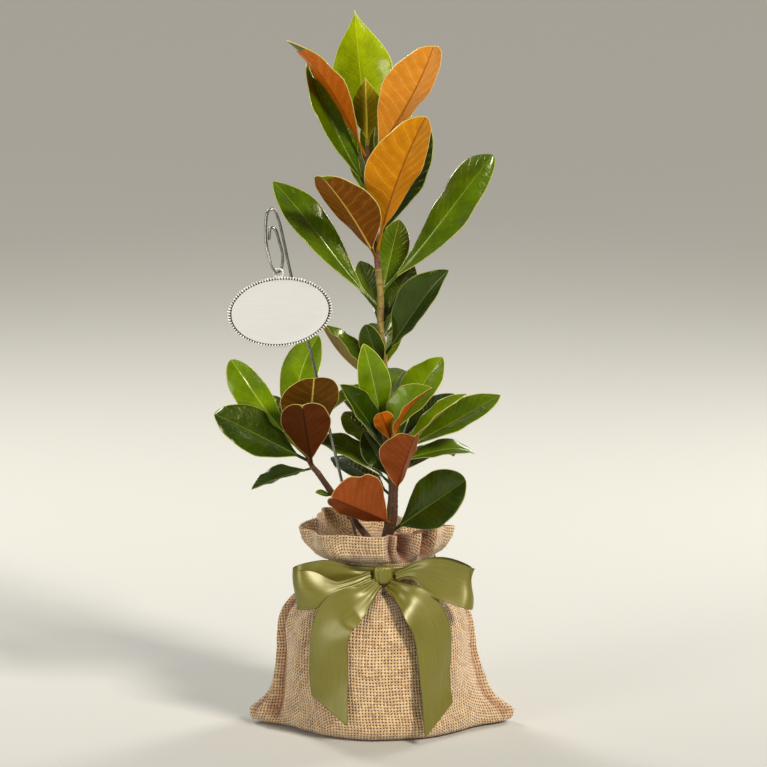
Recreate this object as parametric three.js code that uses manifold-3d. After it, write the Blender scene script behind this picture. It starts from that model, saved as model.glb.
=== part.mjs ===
// A young evergreen magnolia, as it is given away: a single leader with two low boughs and
// large leathery leaves, standing in a tied burlap sack with a satin bow, and an oval metal
// plaque that hangs on a wire holder.
//
// Millimetres, +Z up. The origin is the middle of the sack's flat underside. -Y is the front,
// where the bow is, and -X is the side of the plaque.
//
// Every leaf is a loft: a petiole that widens into a blade folded along its midrib. The leaves
// that stand straight on the trunk are each a solid of their own. Those of a shoot are fused to
// its stem as one mass. Wherever a piece meets the limb that carries it, it is cut back so that
// SEAT is left between them.

import * as THREE from "three";
import { mergeVertices } from "three/addons/utils/BufferGeometryUtils.js";
import Module from "manifold-3d";

const wasm = await Module();
wasm.setup();

// ---------- driving dimensions ----------

const SEAT = 0.3; // clearance between two pieces that touch
const SOIL_FLOOR = 112; // height of the sack's filled part inside the neck
const SOIL_TOP = 118; // height of the soil, where the trunk is cut flat
const NECK = 123; // height of the ribbon round the sack's neck
const SEGMENTS = 32; // facets round the sack and the band
const RIBBON_WIDE = 30;
const RIBBON_THICK = 1;
const WIRE_RADIUS = 0.9;
const PLAQUE = { wide: 77, tall: 52, thick: 1.6, tilt: 6, at: [-74.5, -27.5, 316] };

const vec = (x, y, z) => new THREE.Vector3(x, y, z);
const radians = THREE.MathUtils.degToRad;
const smooth = THREE.MathUtils.smoothstep;
const mix = THREE.MathUtils.lerp;

// A repeatable number from 0 to 1 for each whole number.
function chance(i) {
  const x = Math.sin(i * 12.9898) * 43758.5453;
  return x - Math.floor(x);
}

// ---------- solids ----------

// A closed mesh made of rings with the same number of points, capped at both ends, or joined
// end to end when it is a loop.
function loft(rings, loop = false) {
  const around = rings[0].length;
  const points = rings.flat();
  const index = [];
  const last = loop ? rings.length : rings.length - 1;
  for (let i = 0; i < last; i++)
    for (let j = 0; j < around; j++) {
      const k = (j + 1) % around;
      const here = i * around;
      const next = ((i + 1) % rings.length) * around;
      index.push(here + j, here + k, next + k, here + j, next + k, next + j);
    }
  if (!loop)
    for (let j = 1; j < around - 1; j++) {
      const end = (rings.length - 1) * around;
      index.push(0, j + 1, j, end, end + j, end + j + 1);
    }
  const shape = new THREE.BufferGeometry().setFromPoints(points);
  shape.setIndex(index);
  return shape;
}

// three.js geometry to a manifold-3d solid, turned to face outwards.
function solid(shape) {
  const bare = new THREE.BufferGeometry();
  bare.setAttribute("position", shape.getAttribute("position"));
  if (shape.index) bare.setIndex(shape.index);
  const merged = mergeVertices(bare, 1e-3);
  const corners = Array.from(merged.index.array);
  const make = (triVerts) =>
    new wasm.Manifold(
      new wasm.Mesh({
        numProp: 3,
        vertProperties: new Float32Array(merged.attributes.position.array),
        triVerts: new Uint32Array(triVerts),
      }),
    );
  const made = make(corners);
  return made.volume() > 0 ? made : make(corners.reverse());
}

// The largest body of a solid: what a cut leaves behind as scraps is dropped.
function largest(whole) {
  const bodies = whole.decompose();
  return bodies.reduce((a, b) => (a.volume() > b.volume() ? a : b));
}

const finish = {
  burlap: new THREE.MeshStandardMaterial({ color: 0xc4a274, roughness: 0.95 }),
  soil: new THREE.MeshStandardMaterial({ color: 0x3a2a1d, roughness: 1 }),
  satin: new THREE.MeshStandardMaterial({ color: 0x97a050, roughness: 0.35 }),
  bark: new THREE.MeshStandardMaterial({ color: 0x86713c, roughness: 0.8 }),
  twig: new THREE.MeshStandardMaterial({ color: 0x6a3b24, roughness: 0.7 }),
  leaf: new THREE.MeshStandardMaterial({ color: 0x3f6b1c, roughness: 0.35 }),
  plaque: new THREE.MeshStandardMaterial({ color: 0xd9d8d0, roughness: 0.3, metalness: 1 }),
  wire: new THREE.MeshStandardMaterial({ color: 0xb9b9b6, roughness: 0.25, metalness: 1 }),
};

const model = new THREE.Group();

function add(name, body, material) {
  const { vertProperties, triVerts, numProp } = body.getMesh();
  const shape = new THREE.BufferGeometry();
  const places = new Float32Array((vertProperties.length / numProp) * 3);
  for (let i = 0; i < places.length; i++)
    places[i] = vertProperties[Math.floor(i / 3) * numProp + (i % 3)];
  shape.setAttribute("position", new THREE.BufferAttribute(places, 3));
  shape.setIndex(new THREE.BufferAttribute(triVerts, 1));
  shape.computeVertexNormals();
  const mesh = new THREE.Mesh(shape, material);
  mesh.name = name;
  model.add(mesh);
  return body;
}

// ---------- limbs ----------

// A limb is a curve with a radius that falls evenly from its foot to its tip.
function limb(points, footRadius, tipRadius, flare = 0) {
  const curve = new THREE.CatmullRomCurve3(points.map((p) => vec(...p)));
  const radius = (t) => mix(footRadius, tipRadius, t) + flare * Math.max(0, 1 - t * 14) ** 2;
  return { curve, radius };
}

// The limb's tube. grow widens it and lengthens its tip, for cutting the pieces that stand on it.
function tube({ curve, radius }, grow = 0, steps = 14, sides = 8) {
  const rings = [];
  for (let i = 0; i <= steps; i++) {
    const t = i / steps;
    const centre = curve.getPointAt(t);
    const along = curve.getTangentAt(t);
    // The foot is cut level, and every later ring is square to the limb.
    const across = vec(1, 0, 0).addScaledVector(along, -along.x).normalize();
    const depth = along.clone().cross(across);
    if (i === 0) {
      across.set(1, 0, 0);
      depth.set(0, 1, 0);
    }
    if (i === steps) centre.addScaledVector(along, grow);
    const ring = [];
    for (let j = 0; j < sides; j++) {
      const angle = (j / sides) * 2 * Math.PI;
      const r = radius(t) + grow;
      ring.push(
        centre
          .clone()
          .addScaledVector(across, r * Math.cos(angle))
          .addScaledVector(depth, r * Math.sin(angle)),
      );
    }
    rings.push(ring);
  }
  return solid(loft(rings));
}

// The point of a limb's own line at a given height.
function atHeight({ curve }, height) {
  let low = 0;
  let high = 1;
  for (let i = 0; i < 30; i++) {
    const middle = (low + high) / 2;
    if (curve.getPointAt(middle).z < height) low = middle;
    else high = middle;
  }
  return curve.getPointAt(low);
}

// ---------- leaves ----------

const PETIOLE_RADIUS = 1.2;
const BLADE_STEPS = 9;

// Half the blade's width as a share of its greatest, from its foot (0) to its tip (1). widest is
// where that greatest width is, and point is high for a drawn-out tip and low for a blunt one.
function outline(s, widest, point) {
  if (s < widest) return Math.sin(((Math.PI / 2) * s) / widest) ** 1.25;
  return Math.max(0, Math.cos(((Math.PI / 2) * (s - widest)) / (1 - widest))) ** point;
}

// How a leaf is shaped, where its own row says nothing else. stalk is the petiole's share of the
// leaf's length. bend arches the leaf toward its upper side, sway toward its right-hand side and
// hook arches its far end only, each as a share of the length. fold raises the two halves by
// that many degrees, and left and right are how wide each half is beside its usual width.
const USUAL = { stalk: 0.1, bend: 0, sway: 0, hook: 0, fold: 12, widest: 0.58, point: 0.75, left: 1,
  right: 1 };

// A leaf from a point on a stem. reach is the span from there to its tip, looks is the way its
// upper side faces.
function leaf(from, shape) {
  const form = { ...USUAL, ...shape };
  const { reach, wide, looks, stalk, bend, sway, hook, fold, widest, point } = form;
  const span = vec(...reach);
  const length = span.length();
  const along = span.clone().normalize();
  const upper = vec(...looks);
  upper.addScaledVector(along, -upper.dot(along)).normalize();
  const right = along.clone().cross(upper);
  const thick = Math.max(0.9, 0.0115 * length);
  const centre = (t) =>
    from
      .clone()
      .addScaledVector(span, t)
      .addScaledVector(upper, length * (bend * 4 * t * (1 - t) + hook * 6.75 * t * t * (1 - t)))
      .addScaledVector(right, length * sway * 4 * t * (1 - t));
  const stations = [0, stalk * 0.6];
  for (let i = 0; i <= BLADE_STEPS; i++) stations.push(mix(stalk, 1, i / BLADE_STEPS));
  const rings = stations.map((t) => {
    const s = Math.max(0, (t - stalk) / (1 - stalk));
    const tangent = centre(t + 0.01).sub(centre(t - 0.01)).normalize();
    const normal = upper.clone().addScaledVector(tangent, -upper.dot(tangent)).normalize();
    const side = tangent.clone().cross(normal);
    const full = (wide / 2) * outline(s, widest, point);
    const halves = [form.left, form.right].map((share) =>
      Math.max(mix(PETIOLE_RADIUS, 0.4, s), full * share),
    );
    const lift = radians(fold) * smooth(s, 0, 0.25);
    const deep = mix(2 * PETIOLE_RADIUS, thick, smooth(t, 0, 2 * stalk)) / Math.cos(lift);
    const place = (v, k) => {
      const half = halves[v < 0 ? 0 : 1];
      return centre(t)
        .addScaledVector(side, half * v * Math.cos(lift))
        .addScaledVector(normal, half * Math.abs(v) * Math.sin(lift) + (k * deep) / 2);
    };
    return [place(-1, 1), place(0, 1), place(1, 1), place(1, -1), place(0, -1), place(-1, -1)];
  });
  return solid(loft(rings));
}

// A shoot's stem with its leaves fused on, as one mass. Each leaf starts at a share of the way
// up the stem.
function mass(stem, leaves, steps = 6) {
  const parts = leaves.map((l) => leaf(stem.curve.getPointAt(l.at), l));
  return parts.reduce((whole, part) => whole.add(part), tube(stem, 0, steps, 6));
}

// ---------- the tree ----------

const trunk = limb(
  [[1, 0, SOIL_TOP + SEAT], [2.5, 0, 138], [6.5, 0, 160], [8, 0, 178], [6, 0, 197], [2, 0, 220],
    [0.5, 0, 245], [1.5, 0, 272], [-1, 0, 300], [-1, 0, 325], [-3, 0, 344]],
  3.6, 2.3, 2.4,
);
const boughLeft = limb(
  [[1.5, 0, 126], [-9, -2, 140], [-21.5, -5.5, 156.5], [-35, -14, 175.5], [-47, -25, 195]], 2.8, 2.2,
);
const boughRight = limb([[2.5, 0, 136], [6.5, -7, 147], [9, -12, 159], [9.5, -15, 176]], 2.8, 2.3);

// Leaves that stand straight on the trunk, from the highest down. at is the height of the foot.
const trunkLeaves = {
  leaf_trunk_01: { at: 326, reach: [83, 15, 98], wide: 35, looks: [-6, -8, 3], sway: 0.03, hook: 0.05,
    fold: 22, widest: 0.76, point: 0.4 },
  leaf_trunk_02: { at: 314, reach: [-80, 25, 91], wide: 31, looks: [4, -8, 4], sway: -0.035, hook: 0.06,
    fold: 14, widest: 0.68, point: 0.85 },
  leaf_trunk_03: { at: 318, reach: [14, 44, 56], wide: 26, looks: [-1, -8, 3], bend: 0.04 },
  leaf_trunk_04: { at: 305, reach: [-15, 43, 38], wide: 20, looks: [1, -8, 5], bend: 0.04 },
  leaf_trunk_05: { at: 300, reach: [24, 32, 42], wide: 24, looks: [-2, -8, 4], bend: 0.04 },
  leaf_trunk_06: { at: 278, reach: [48, -24, 68], wide: 37, looks: [-6, -8, 3], hook: 0.04, fold: 34 },
  leaf_trunk_07: { at: 258, reach: [-46, 26, 40], wide: 34, looks: [5, -2, 6.5], bend: -0.1, fold: 45 },
  leaf_trunk_08: { at: 262, reach: [-13, -5, 41], wide: 20, looks: [-3, -9, 1], fold: 16, point: 0.5 },
  leaf_trunk_09: { at: 256, reach: [-38, 10, -20], wide: 20, looks: [-1, -4, 8], bend: 0.08, fold: 30 },
  leaf_trunk_10: { at: 218, reach: [-16, -14, 72], wide: 26, looks: [2, -9, 2], hook: 0.04, fold: 18 },
  leaf_trunk_11: { at: 202, reach: [-36, -29, 60], wide: 27, looks: [7, -6, 4], bend: 0.03, fold: 24 },
  leaf_trunk_12: { at: 192, reach: [13, 46, 34], wide: 24, looks: [1, -8, 6], bend: 0.03 },
  leaf_trunk_13: { at: 200, reach: [-34, 40, 29], wide: 30, looks: [3, -7, 7], bend: 0.03 },
  leaf_trunk_14: { at: 180, reach: [-60, 12, 34], wide: 27, looks: [1, -4, 9], bend: 0.1, fold: 20 },
  leaf_trunk_15: { at: 172, reach: [-46, 42, 22], wide: 26, looks: [2, -5, 8], bend: 0.06 },
  leaf_trunk_16: { at: 184, reach: [-22, -2, 38], wide: 22, looks: [2, -9, 3] },
};

// Leaves of the far side, each turned by so many degrees from the right, nearly level.
const BACK_TURNS = [111, 74, 92, 76];
for (const [i, turn] of BACK_TURNS.entries()) {
  const out = 62 + 12 * chance(i + 3);
  trunkLeaves[`leaf_back_${i + 1}`] = {
    at: 217 + 24 * i,
    reach: [
      out * Math.cos(radians(turn)),
      out * Math.sin(radians(turn)),
      12 + 14 * chance(i + 11),
    ],
    wide: 32 + 6 * chance(i + 5),
    looks: [0, -3, 9],
    hook: 0.07,
    fold: 14,
  };
}

const topStem = limb([[-3, 0, 344], [-6, 0, 385], [-11, 0, 420], [-10, 0, 436]], 2.4, 1.6);
const topLeaves = [
  { at: 0.93, reach: [-9.5, 36, 101], wide: 49, looks: [-3, -9, 3], fold: 22, widest: 0.55, point: 1.4 },
  { at: 0.97, reach: [-2, -12, 53], wide: 25, looks: [1, 9, 3], fold: 30, widest: 0.5, point: 1.2 },
  { at: 0.85, reach: [48, -45, 90], wide: 47, looks: [-5, 8, 3], sway: -0.05, fold: 22, point: 0.55 },
  { at: 0.12, reach: [35, -52, 107], wide: 51, looks: [-4, 8, 4], sway: 0.04, fold: 18, stalk: 0.18,
    widest: 0.5, point: 0.6 },
  { at: 0.2, reach: [39, 10, 88], wide: 40, looks: [-6, -7, 3], bend: -0.04 },
  { at: 0.06, reach: [-40, -44, 68], wide: 49, looks: [5, 7, 5], bend: 0.04, fold: 16, widest: 0.52,
    point: 0.5 },
  { at: 0.88, reach: [-58, -20, 89], wide: 38, looks: [9, 5.5, 4], bend: 0.045, hook: 0.03, fold: 10,
    point: 1 },
  { at: 0.6, reach: [-47, 12, 95], wide: 36, looks: [6, -7, 3], sway: -0.04, fold: 24 },
  { at: 0.5, reach: [18, 62, 74], wide: 40, looks: [-2, -8, 5], hook: 0.05 },
  { at: 0.75, reach: [44, 44, 70], wide: 38, looks: [-6, -6, 5], hook: 0.05 },
  { at: 0.4, reach: [-5, 69, 50], wide: 38, looks: [2, -7, 6], hook: 0.05 },
];

const leftStem = limb([[-47, -25, 195], [-52, -28, 202], [-56, -30, 212]], 2.2, 1.5);
const leftLeaves = [
  { at: 1, reach: [9, 40, 80], wide: 30, looks: [0, -9, 3], sway: -0.13, fold: 14, widest: 0.66,
    point: 0.55 },
  { at: 0.9, reach: [6, -30, 62], wide: 46, looks: [-3, 8, 4], fold: 12, widest: 0.66, point: 0.42 },
  { at: 0.4, reach: [-6, -40, 52], wide: 38, looks: [0, 8, 5], fold: 20, widest: 0.66, point: 0.35 },
  { at: 0.8, reach: [-56, 2, 72], wide: 28, looks: [3, -8, 6], sway: -0.05, hook: 0.06, fold: 16,
    widest: 0.66, point: 0.45 },
  { at: 0.6, reach: [-69, -25, 40], wide: 38, looks: [2, -8, 6], hook: 0.01, fold: 10, point: 0.6 },
  { at: 0.3, reach: [-45, -22, -12], wide: 26, looks: [-1, -2, 9], bend: 0.03, fold: 20, widest: 0.38 },
  { at: 0.7, reach: [-36, 52, 38], wide: 32, looks: [4, -5, 8], hook: 0.06 },
  { at: 0.5, reach: [-8, 62, 16], wide: 32, looks: [0, -3, 9], hook: 0.08 },
];

const rightStem = limb([[9.5, -15, 176], [10, -16, 190], [8, -14, 208], [7, -12, 220]], 2.4, 1.5);
const rightLeaves = [
  { at: 0.06, reach: [10, -32, 48], wide: 40, looks: [-1, 9, 5], fold: 28, widest: 0.46, point: 0.35,
    left: 0.6 },
  { at: 0.6, reach: [60, 26, 0], wide: 20, looks: [0, -5, 9], hook: 0.1, fold: 16 },
  { at: 0.75, reach: [80, 18, 39], wide: 26, looks: [-3, -7, 7], sway: 0.04, hook: 0.03,
    fold: 16, widest: 0.64 },
  { at: 0.8, reach: [46, 40, 34], wide: 22, looks: [-3, -6, 6], hook: 0.04 },
  { at: 0.65, reach: [54, -14, 50], wide: 20, looks: [-8, -3, 6], hook: 0.03, fold: 30 },
  { at: 1, reach: [38, 32, 54], wide: 32, looks: [-4, -8, 5], hook: 0.03, fold: 16 },
  { at: 0.8, reach: [29, -13, 48], wide: 34, looks: [-7, -4.5, 5], bend: 0.12, fold: 46 },
  { at: 0.7, reach: [22, 62, 30], wide: 32, looks: [-2, -5, 8], hook: 0.06 },
  { at: 0.4, reach: [44, 54, 2], wide: 32, looks: [-2, -2, 9], hook: 0.1 },
  { at: 0.9, reach: [-8, -14, 25], wide: 17, looks: [-1, 9, 3], fold: 20, point: 0.4 },
];

// Leaves low on the boughs: limb, height of the foot, and shape.
const lowLeaves = {
  leaf_low_front: [boughRight, 154,
    { reach: [-44, -34, 26], wide: 47, looks: [-3, 8, 5], fold: 30, widest: 0.46, point: 0.42,
      left: 1.1, right: 0.7 }],
  leaf_low_right: [boughRight, 147,
    { reach: [55, -39, 47], wide: 42, looks: [-2, -9, 5], fold: 8, point: 0.5 }],
  leaf_low_left: [boughLeft, 176,
    { reach: [-14, -8, 4], wide: 8, looks: [0, -5, 8] }],
};

const BOUGH_STEPS = 6;
const trunkCut = tube(trunk, SEAT);
const leftCut = tube(boughLeft, SEAT, BOUGH_STEPS);
const rightCut = tube(boughRight, SEAT, BOUGH_STEPS);

add("trunk", tube(trunk), finish.bark);
add("bough_left", largest(tube(boughLeft, 0, BOUGH_STEPS).subtract(trunkCut)), finish.twig);
add("bough_right", largest(tube(boughRight, 0, BOUGH_STEPS).subtract(trunkCut)), finish.twig);
for (const [name, shape] of Object.entries(trunkLeaves)) {
  const foot = atHeight(trunk, shape.at);
  add(name, largest(leaf(foot, shape).subtract(trunkCut)), finish.leaf);
}
for (const [name, [bough, height, shape]] of Object.entries(lowLeaves)) {
  const cut = bough === boughLeft ? leftCut : rightCut;
  add(name, largest(leaf(atHeight(bough, height), shape).subtract(cut)), finish.leaf);
}
add("foliage_top", largest(mass(topStem, topLeaves, 8).subtract(trunkCut)), finish.leaf);
add("foliage_left", largest(mass(leftStem, leftLeaves).subtract(leftCut)), finish.leaf);
add("foliage_right", largest(mass(rightStem, rightLeaves).subtract(rightCut)), finish.leaf);

// ---------- the sack ----------

// Each row is a height, the half width, the half depth, how far the corner ears stand out, how
// deep the gathers are and how far the row is set over to the left. The cloth goes up outside,
// over the rim and down inside the collar.
const sackRows = [
  [0, 58, 50, 14, 0, 0],
  [3, 71, 61, 25, 0, 0],
  [11, 74, 66, 25, 0, 0],
  [27, 73, 67, 8, 0, 2],
  [58, 72, 66, 1, 0, 4],
  [84, 70, 63, 0, 0.5, 4],
  [100, 60, 54, 0, 2, 3],
  [111, 46, 43, 0, 1.5, 2],
  [NECK - 5.5, 38.5, 37.5, 0, 0, 0],
  [NECK + 5.5, 38.5, 37.5, 0, 0, 0],
  [133, 44, 42, 0, 2, 2],
  [142, 51, 49, 0, 4, 4],
  [150, 53, 53, 0, 6, 4],
  [150.5, 48, 48, 0, 6, 4],
  [142, 43, 42, 0, 3, 4],
  [132, 36, 35, 0, 1, 2],
  [121, 29, 28, 0, 0, 0],
  [SOIL_FLOOR, 29, 28, 0, 0, 0],
];
const GATHERS = 8;
const EAR_ANGLE = 0.24;

function sackRing([height, wide, deep, ear, gather, over]) {
  const ring = [];
  for (let j = 0; j < SEGMENTS; j++) {
    const angle = (j / SEGMENTS) * 2 * Math.PI;
    const offSide = Math.min(Math.abs(Math.sin(angle / 2)), Math.abs(Math.cos(angle / 2))) * 2;
    const bump = ear * Math.exp(-((offSide / EAR_ANGLE) ** 2));
    const fold = gather * Math.cos(GATHERS * angle);
    const rise = height > NECK + 15 ? gather * 0.7 * Math.sin(2 * angle + 3.25) : 0;
    ring.push(
      vec(
        (wide + bump + fold) * Math.cos(angle) - over,
        (deep + fold) * Math.sin(angle),
        height + rise,
      ),
    );
  }
  return ring;
}
add("burlap_sack", solid(loft(sackRows.map(sackRing))), finish.burlap);

// ---------- the wire holder and the plaque ----------

// The wire stands in the soil, rises straight behind the plaque, bends over at the top, comes
// down through the plaque's eyelet and ends in a smaller turn inside the first.
const EYELET = vec(PLAQUE.at[0] - 1, PLAQUE.at[1] - PLAQUE.thick / 2, PLAQUE.at[2] + 28.45);
const through = (x, y, z) => [EYELET.x + x, EYELET.y + y, EYELET.z + z];
const wirePath = new THREE.CatmullRomCurve3(
  [
    [-12, -14, SOIL_FLOOR + 3], [-20, -14.5, 148], [-27.5, -15.5, 178], [-39.5, -18.5, 230],
    [-56, -21.5, 300], [-66.5, -22, 342], [-71.5, -22.5, 366], [-75, -23, 382], [-78.5, -24, 391],
    [-82, -25.5, 389], [-84, -27, 379], [-83.5, -29.5, 364], [-80.5, -32, 352],
    through(-2, -3.6, 1.4), through(-0.1, 0, 0.8), through(1.8, 3.6, 1.9), [-72.5, -24.8, 356],
    [-75, -25.2, 368], [-78, -25.6, 376.5], [-82, -26, 377.5], [-83, -26, 369],
  ].map((p) => vec(...p)),
);
const WIRE_STEPS = 3 * (wirePath.points.length - 1);
const WIRE_SIDES = 6;

// The wire's tube. Its rings stand closest where the path's own points do, in the bends.
function wireShape(radius) {
  const rings = [];
  const side = vec(0, 1, 0);
  for (let i = 0; i <= WIRE_STEPS; i++) {
    const centre = wirePath.getPoint(i / WIRE_STEPS);
    const along = wirePath.getTangent(i / WIRE_STEPS);
    side.addScaledVector(along, -side.dot(along)).normalize();
    const other = along.clone().cross(side);
    const ring = [];
    for (let j = 0; j < WIRE_SIDES; j++) {
      const angle = (j / WIRE_SIDES) * 2 * Math.PI;
      ring.push(
        centre
          .clone()
          .addScaledVector(side, radius * Math.cos(angle))
          .addScaledVector(other, radius * Math.sin(angle)),
      );
    }
    rings.push(ring);
  }
  return solid(loft(rings));
}
add("plaque_wire", wireShape(WIRE_RADIUS), finish.wire);

const { wide, tall, thick, tilt, at } = PLAQUE;
const BEADS = 72;
function plaqueShape() {
  const plate = new THREE.Shape();
  plate.absellipse(0, 0, wide / 2 - 1, tall / 2 - 1, 0, 2 * Math.PI);
  const body = solid(
    new THREE.ExtrudeGeometry(plate, { depth: thick, bevelEnabled: false, curveSegments: 24 }),
  );
  const rim = new THREE.Shape();
  rim.absellipse(0, 0, wide / 2, tall / 2, 0, 2 * Math.PI);
  const inner = new THREE.Path();
  inner.absellipse(0, 0, wide / 2 - 2.4, tall / 2 - 2.4, 0, 2 * Math.PI);
  rim.holes.push(inner);
  const band = solid(
    new THREE.ExtrudeGeometry(rim, { depth: thick + 1, bevelEnabled: false, curveSegments: BEADS / 2 }),
  );
  const lug = new THREE.Shape();
  lug.absarc(0, 0, 4, 0, 2 * Math.PI);
  const hole = new THREE.Path();
  hole.absarc(0, 0, 2.6, 0, 2 * Math.PI);
  lug.holes.push(hole);
  const eyelet = solid(
    new THREE.ExtrudeGeometry(lug, { depth: thick, bevelEnabled: false, curveSegments: 8 }).translate(
      2, tall / 2 + 2.4, 0),
  );
  return body.add(band).add(eyelet);
}
// The plate stands upright with its beaded face to the front, and hangs a little askew.
const upright = new THREE.Matrix4()
  .makeTranslation(...at)
  .multiply(new THREE.Matrix4().makeRotationX(Math.PI / 2))
  .multiply(new THREE.Matrix4().makeRotationZ(radians(tilt)));
add("plaque", plaqueShape().transform(upright.elements), finish.plaque);

// ---------- the soil ----------

const SOIL_RADIUS = 27.2;
const soilProfile = [[0, SOIL_FLOOR + SEAT], [SOIL_RADIUS, SOIL_FLOOR + SEAT],
  [SOIL_RADIUS, SOIL_TOP - 1.5], [SOIL_RADIUS - 4, SOIL_TOP], [0, SOIL_TOP]];
const soil = solid(
  new THREE.LatheGeometry(soilProfile.map((p) => new THREE.Vector2(...p)), 20).rotateX(Math.PI / 2),
);
const socket = wireShape(WIRE_RADIUS + SEAT);
add("potting_soil", soil.subtract(socket.add(socket.translate(0, 0, -SEAT))), finish.soil);

// ---------- the ribbon ----------

// A strip of ribbon along a path. wideAt gives its width and acrossAt the way it lies across.
// cut slants its far end.
function strip(points, wideAt, acrossAt, steps, cut = 0) {
  const curve = new THREE.CatmullRomCurve3(points.map((p) => vec(...p)));
  const rings = [];
  for (let i = 0; i <= steps; i++) {
    const t = i / steps;
    const centre = curve.getPointAt(t);
    const along = curve.getTangentAt(t);
    const across = acrossAt(t, along);
    across.addScaledVector(along, -across.dot(along)).normalize();
    const out = along.clone().cross(across);
    if (i === steps) across.addScaledVector(along, cut);
    const w = wideAt(t) / 2;
    const h = RIBBON_THICK / 2;
    const corner = (a, b) => centre.clone().addScaledVector(across, a).addScaledVector(out, b);
    rings.push([corner(-w, -h), corner(w, -h), corner(w, h), corner(-w, h)]);
  }
  return solid(loft(rings));
}

const bandRing = (grow, height) =>
  sackRing([height, 38.5 + grow, 37.5 + grow, 0, 0, 0]);
const BAND_HALF = 4.5;
const BAND_IN = 0.45;
const BAND_OUT = 2;
const band = [[BAND_IN, -BAND_HALF], [BAND_OUT, -BAND_HALF], [BAND_OUT, BAND_HALF], [BAND_IN, BAND_HALF]]
  .map(([grow, height]) => bandRing(grow, NECK + height));
add("ribbon_band", solid(loft(band, true)), finish.satin);

const KNOT_FRONT = -44.85;
const knot = new THREE.SphereGeometry(1, 16, 10);
knot.scale(9, 5, 6.8).translate(1, KNOT_FRONT, NECK);
add("ribbon_knot", solid(knot), finish.satin);

// A loop's width grows from the gathered knot to the open end, at the middle of its length. It
// opens out between two shares of the sine of the way round, which differ front and back.
const loopWide = (back, front) => (t) =>
  mix(8, RIBBON_WIDE, smooth(Math.sin(Math.PI * t), ...(t < 0.5 ? back : front)));
add(
  "bow_loop_left",
  strip(
    [[-8.5, -44, NECK], [-22, -46, 121], [-43, -45, 119], [-60, -47, 115], [-64, -52, 114],
      [-60, -57, 114], [-42, -59, 115], [-22, -54, 118.5], [-8, -48, NECK]],
    loopWide([0, 0.8], [0.6, 1]), () => vec(0, 0, 1), 14,
  ),
  finish.satin,
);
add(
  "bow_loop_right",
  strip(
    [[10.5, -44, NECK], [25, -46, 126], [46, -46, 122], [62, -48, 116], [66, -53, 114],
      [62, -57, 116], [45, -57.5, 122], [25, -53, 127], [10, -48, NECK]],
    loopWide([0.1, 0.9], [0.15, 0.85]), (t) => vec(0.12 * Math.sin(Math.PI * t), 0, 1), 14,
  ),
  finish.satin,
);

// A tail comes out below the knot, turns down and lies on the sack, facing the way it bulges.
const tailWide = (t) => mix(9, RIBBON_WIDE, smooth(t, 0, 0.32));
const facing = (turn) => (t, along) => vec(turn * mix(0.3, 1, t), -1, 0).cross(along);
add(
  "ribbon_tail_left",
  strip(
    [[-3, -48.4, 117.6], [-12, -56.5, 110.5], [-23, -62.5, 104], [-33, -65, 95.5], [-38, -65.5, 83],
      [-39.5, -64.5, 66], [-39.5, -64, 46], [-39, -65, 25]],
    tailWide, facing(-0.5), 14, 0.7,
  ),
  finish.satin,
);
add(
  "ribbon_tail_right",
  strip(
    [[5, -49.3, 116.4], [14, -58, 113], [23, -62.5, 107], [31, -64, 97], [36.5, -63.5, 84],
      [39, -61.5, 68], [40, -62, 44], [42.5, -64, 18]],
    tailWide, facing(1), 14, -0.7,
  ),
  finish.satin,
);

export default model;
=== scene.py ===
"""A young evergreen magnolia in a tied burlap sack, with a satin bow and an oval plaque."""

import math
from collections import defaultdict

import bpy
from mathutils import Matrix, Vector, noise


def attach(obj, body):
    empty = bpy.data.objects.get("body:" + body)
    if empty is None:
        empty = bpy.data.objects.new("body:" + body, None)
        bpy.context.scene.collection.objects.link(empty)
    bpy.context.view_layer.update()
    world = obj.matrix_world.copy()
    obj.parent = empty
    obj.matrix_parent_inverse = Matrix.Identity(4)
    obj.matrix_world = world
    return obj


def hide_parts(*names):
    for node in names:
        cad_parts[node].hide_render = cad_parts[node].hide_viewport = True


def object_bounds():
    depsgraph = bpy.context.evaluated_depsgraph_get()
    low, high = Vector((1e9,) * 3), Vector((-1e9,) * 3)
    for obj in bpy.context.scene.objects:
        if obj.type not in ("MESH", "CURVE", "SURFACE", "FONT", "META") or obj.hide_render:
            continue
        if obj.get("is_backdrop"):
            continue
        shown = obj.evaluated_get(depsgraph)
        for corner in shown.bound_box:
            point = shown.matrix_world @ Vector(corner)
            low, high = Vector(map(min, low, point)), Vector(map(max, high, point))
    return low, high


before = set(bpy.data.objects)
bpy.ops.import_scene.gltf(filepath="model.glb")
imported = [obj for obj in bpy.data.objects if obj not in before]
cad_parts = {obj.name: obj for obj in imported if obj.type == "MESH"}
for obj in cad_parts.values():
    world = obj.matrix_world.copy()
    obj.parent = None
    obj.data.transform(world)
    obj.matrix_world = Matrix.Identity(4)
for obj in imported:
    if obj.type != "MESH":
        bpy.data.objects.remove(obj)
cad_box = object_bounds()

# Lengths in this file are in millimetres. Every mesh is brought to metres as it is made.
MM = 0.001
SOIL_FLOOR = 112
SOIL_TOP = 118
NECK = 123  # the middle of the tied neck
NECK_FOOT = 118
NECK_WIDE, NECK_DEEP = 38.5, 37.5  # its half width and half depth
FRONT = 1.5 * math.pi  # the angle round the sack that faces the viewer


# ---------- camera ----------

lens = bpy.data.cameras.new("view_camera")
lens.lens = 206.52
lens.sensor_width = 36
lens.clip_start = 0.05
camera = bpy.data.objects.new("view_camera", lens)
camera.location = (0.001125, -3.20578, 0.823057)
camera.rotation_euler = (math.radians(80), 0, 0)
bpy.context.scene.collection.objects.link(camera)
bpy.context.scene.camera = camera


# ---------- helpers for numbers, curves and meshes ----------


def mix(a, b, t):
    return a + (b - a) * t


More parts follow.
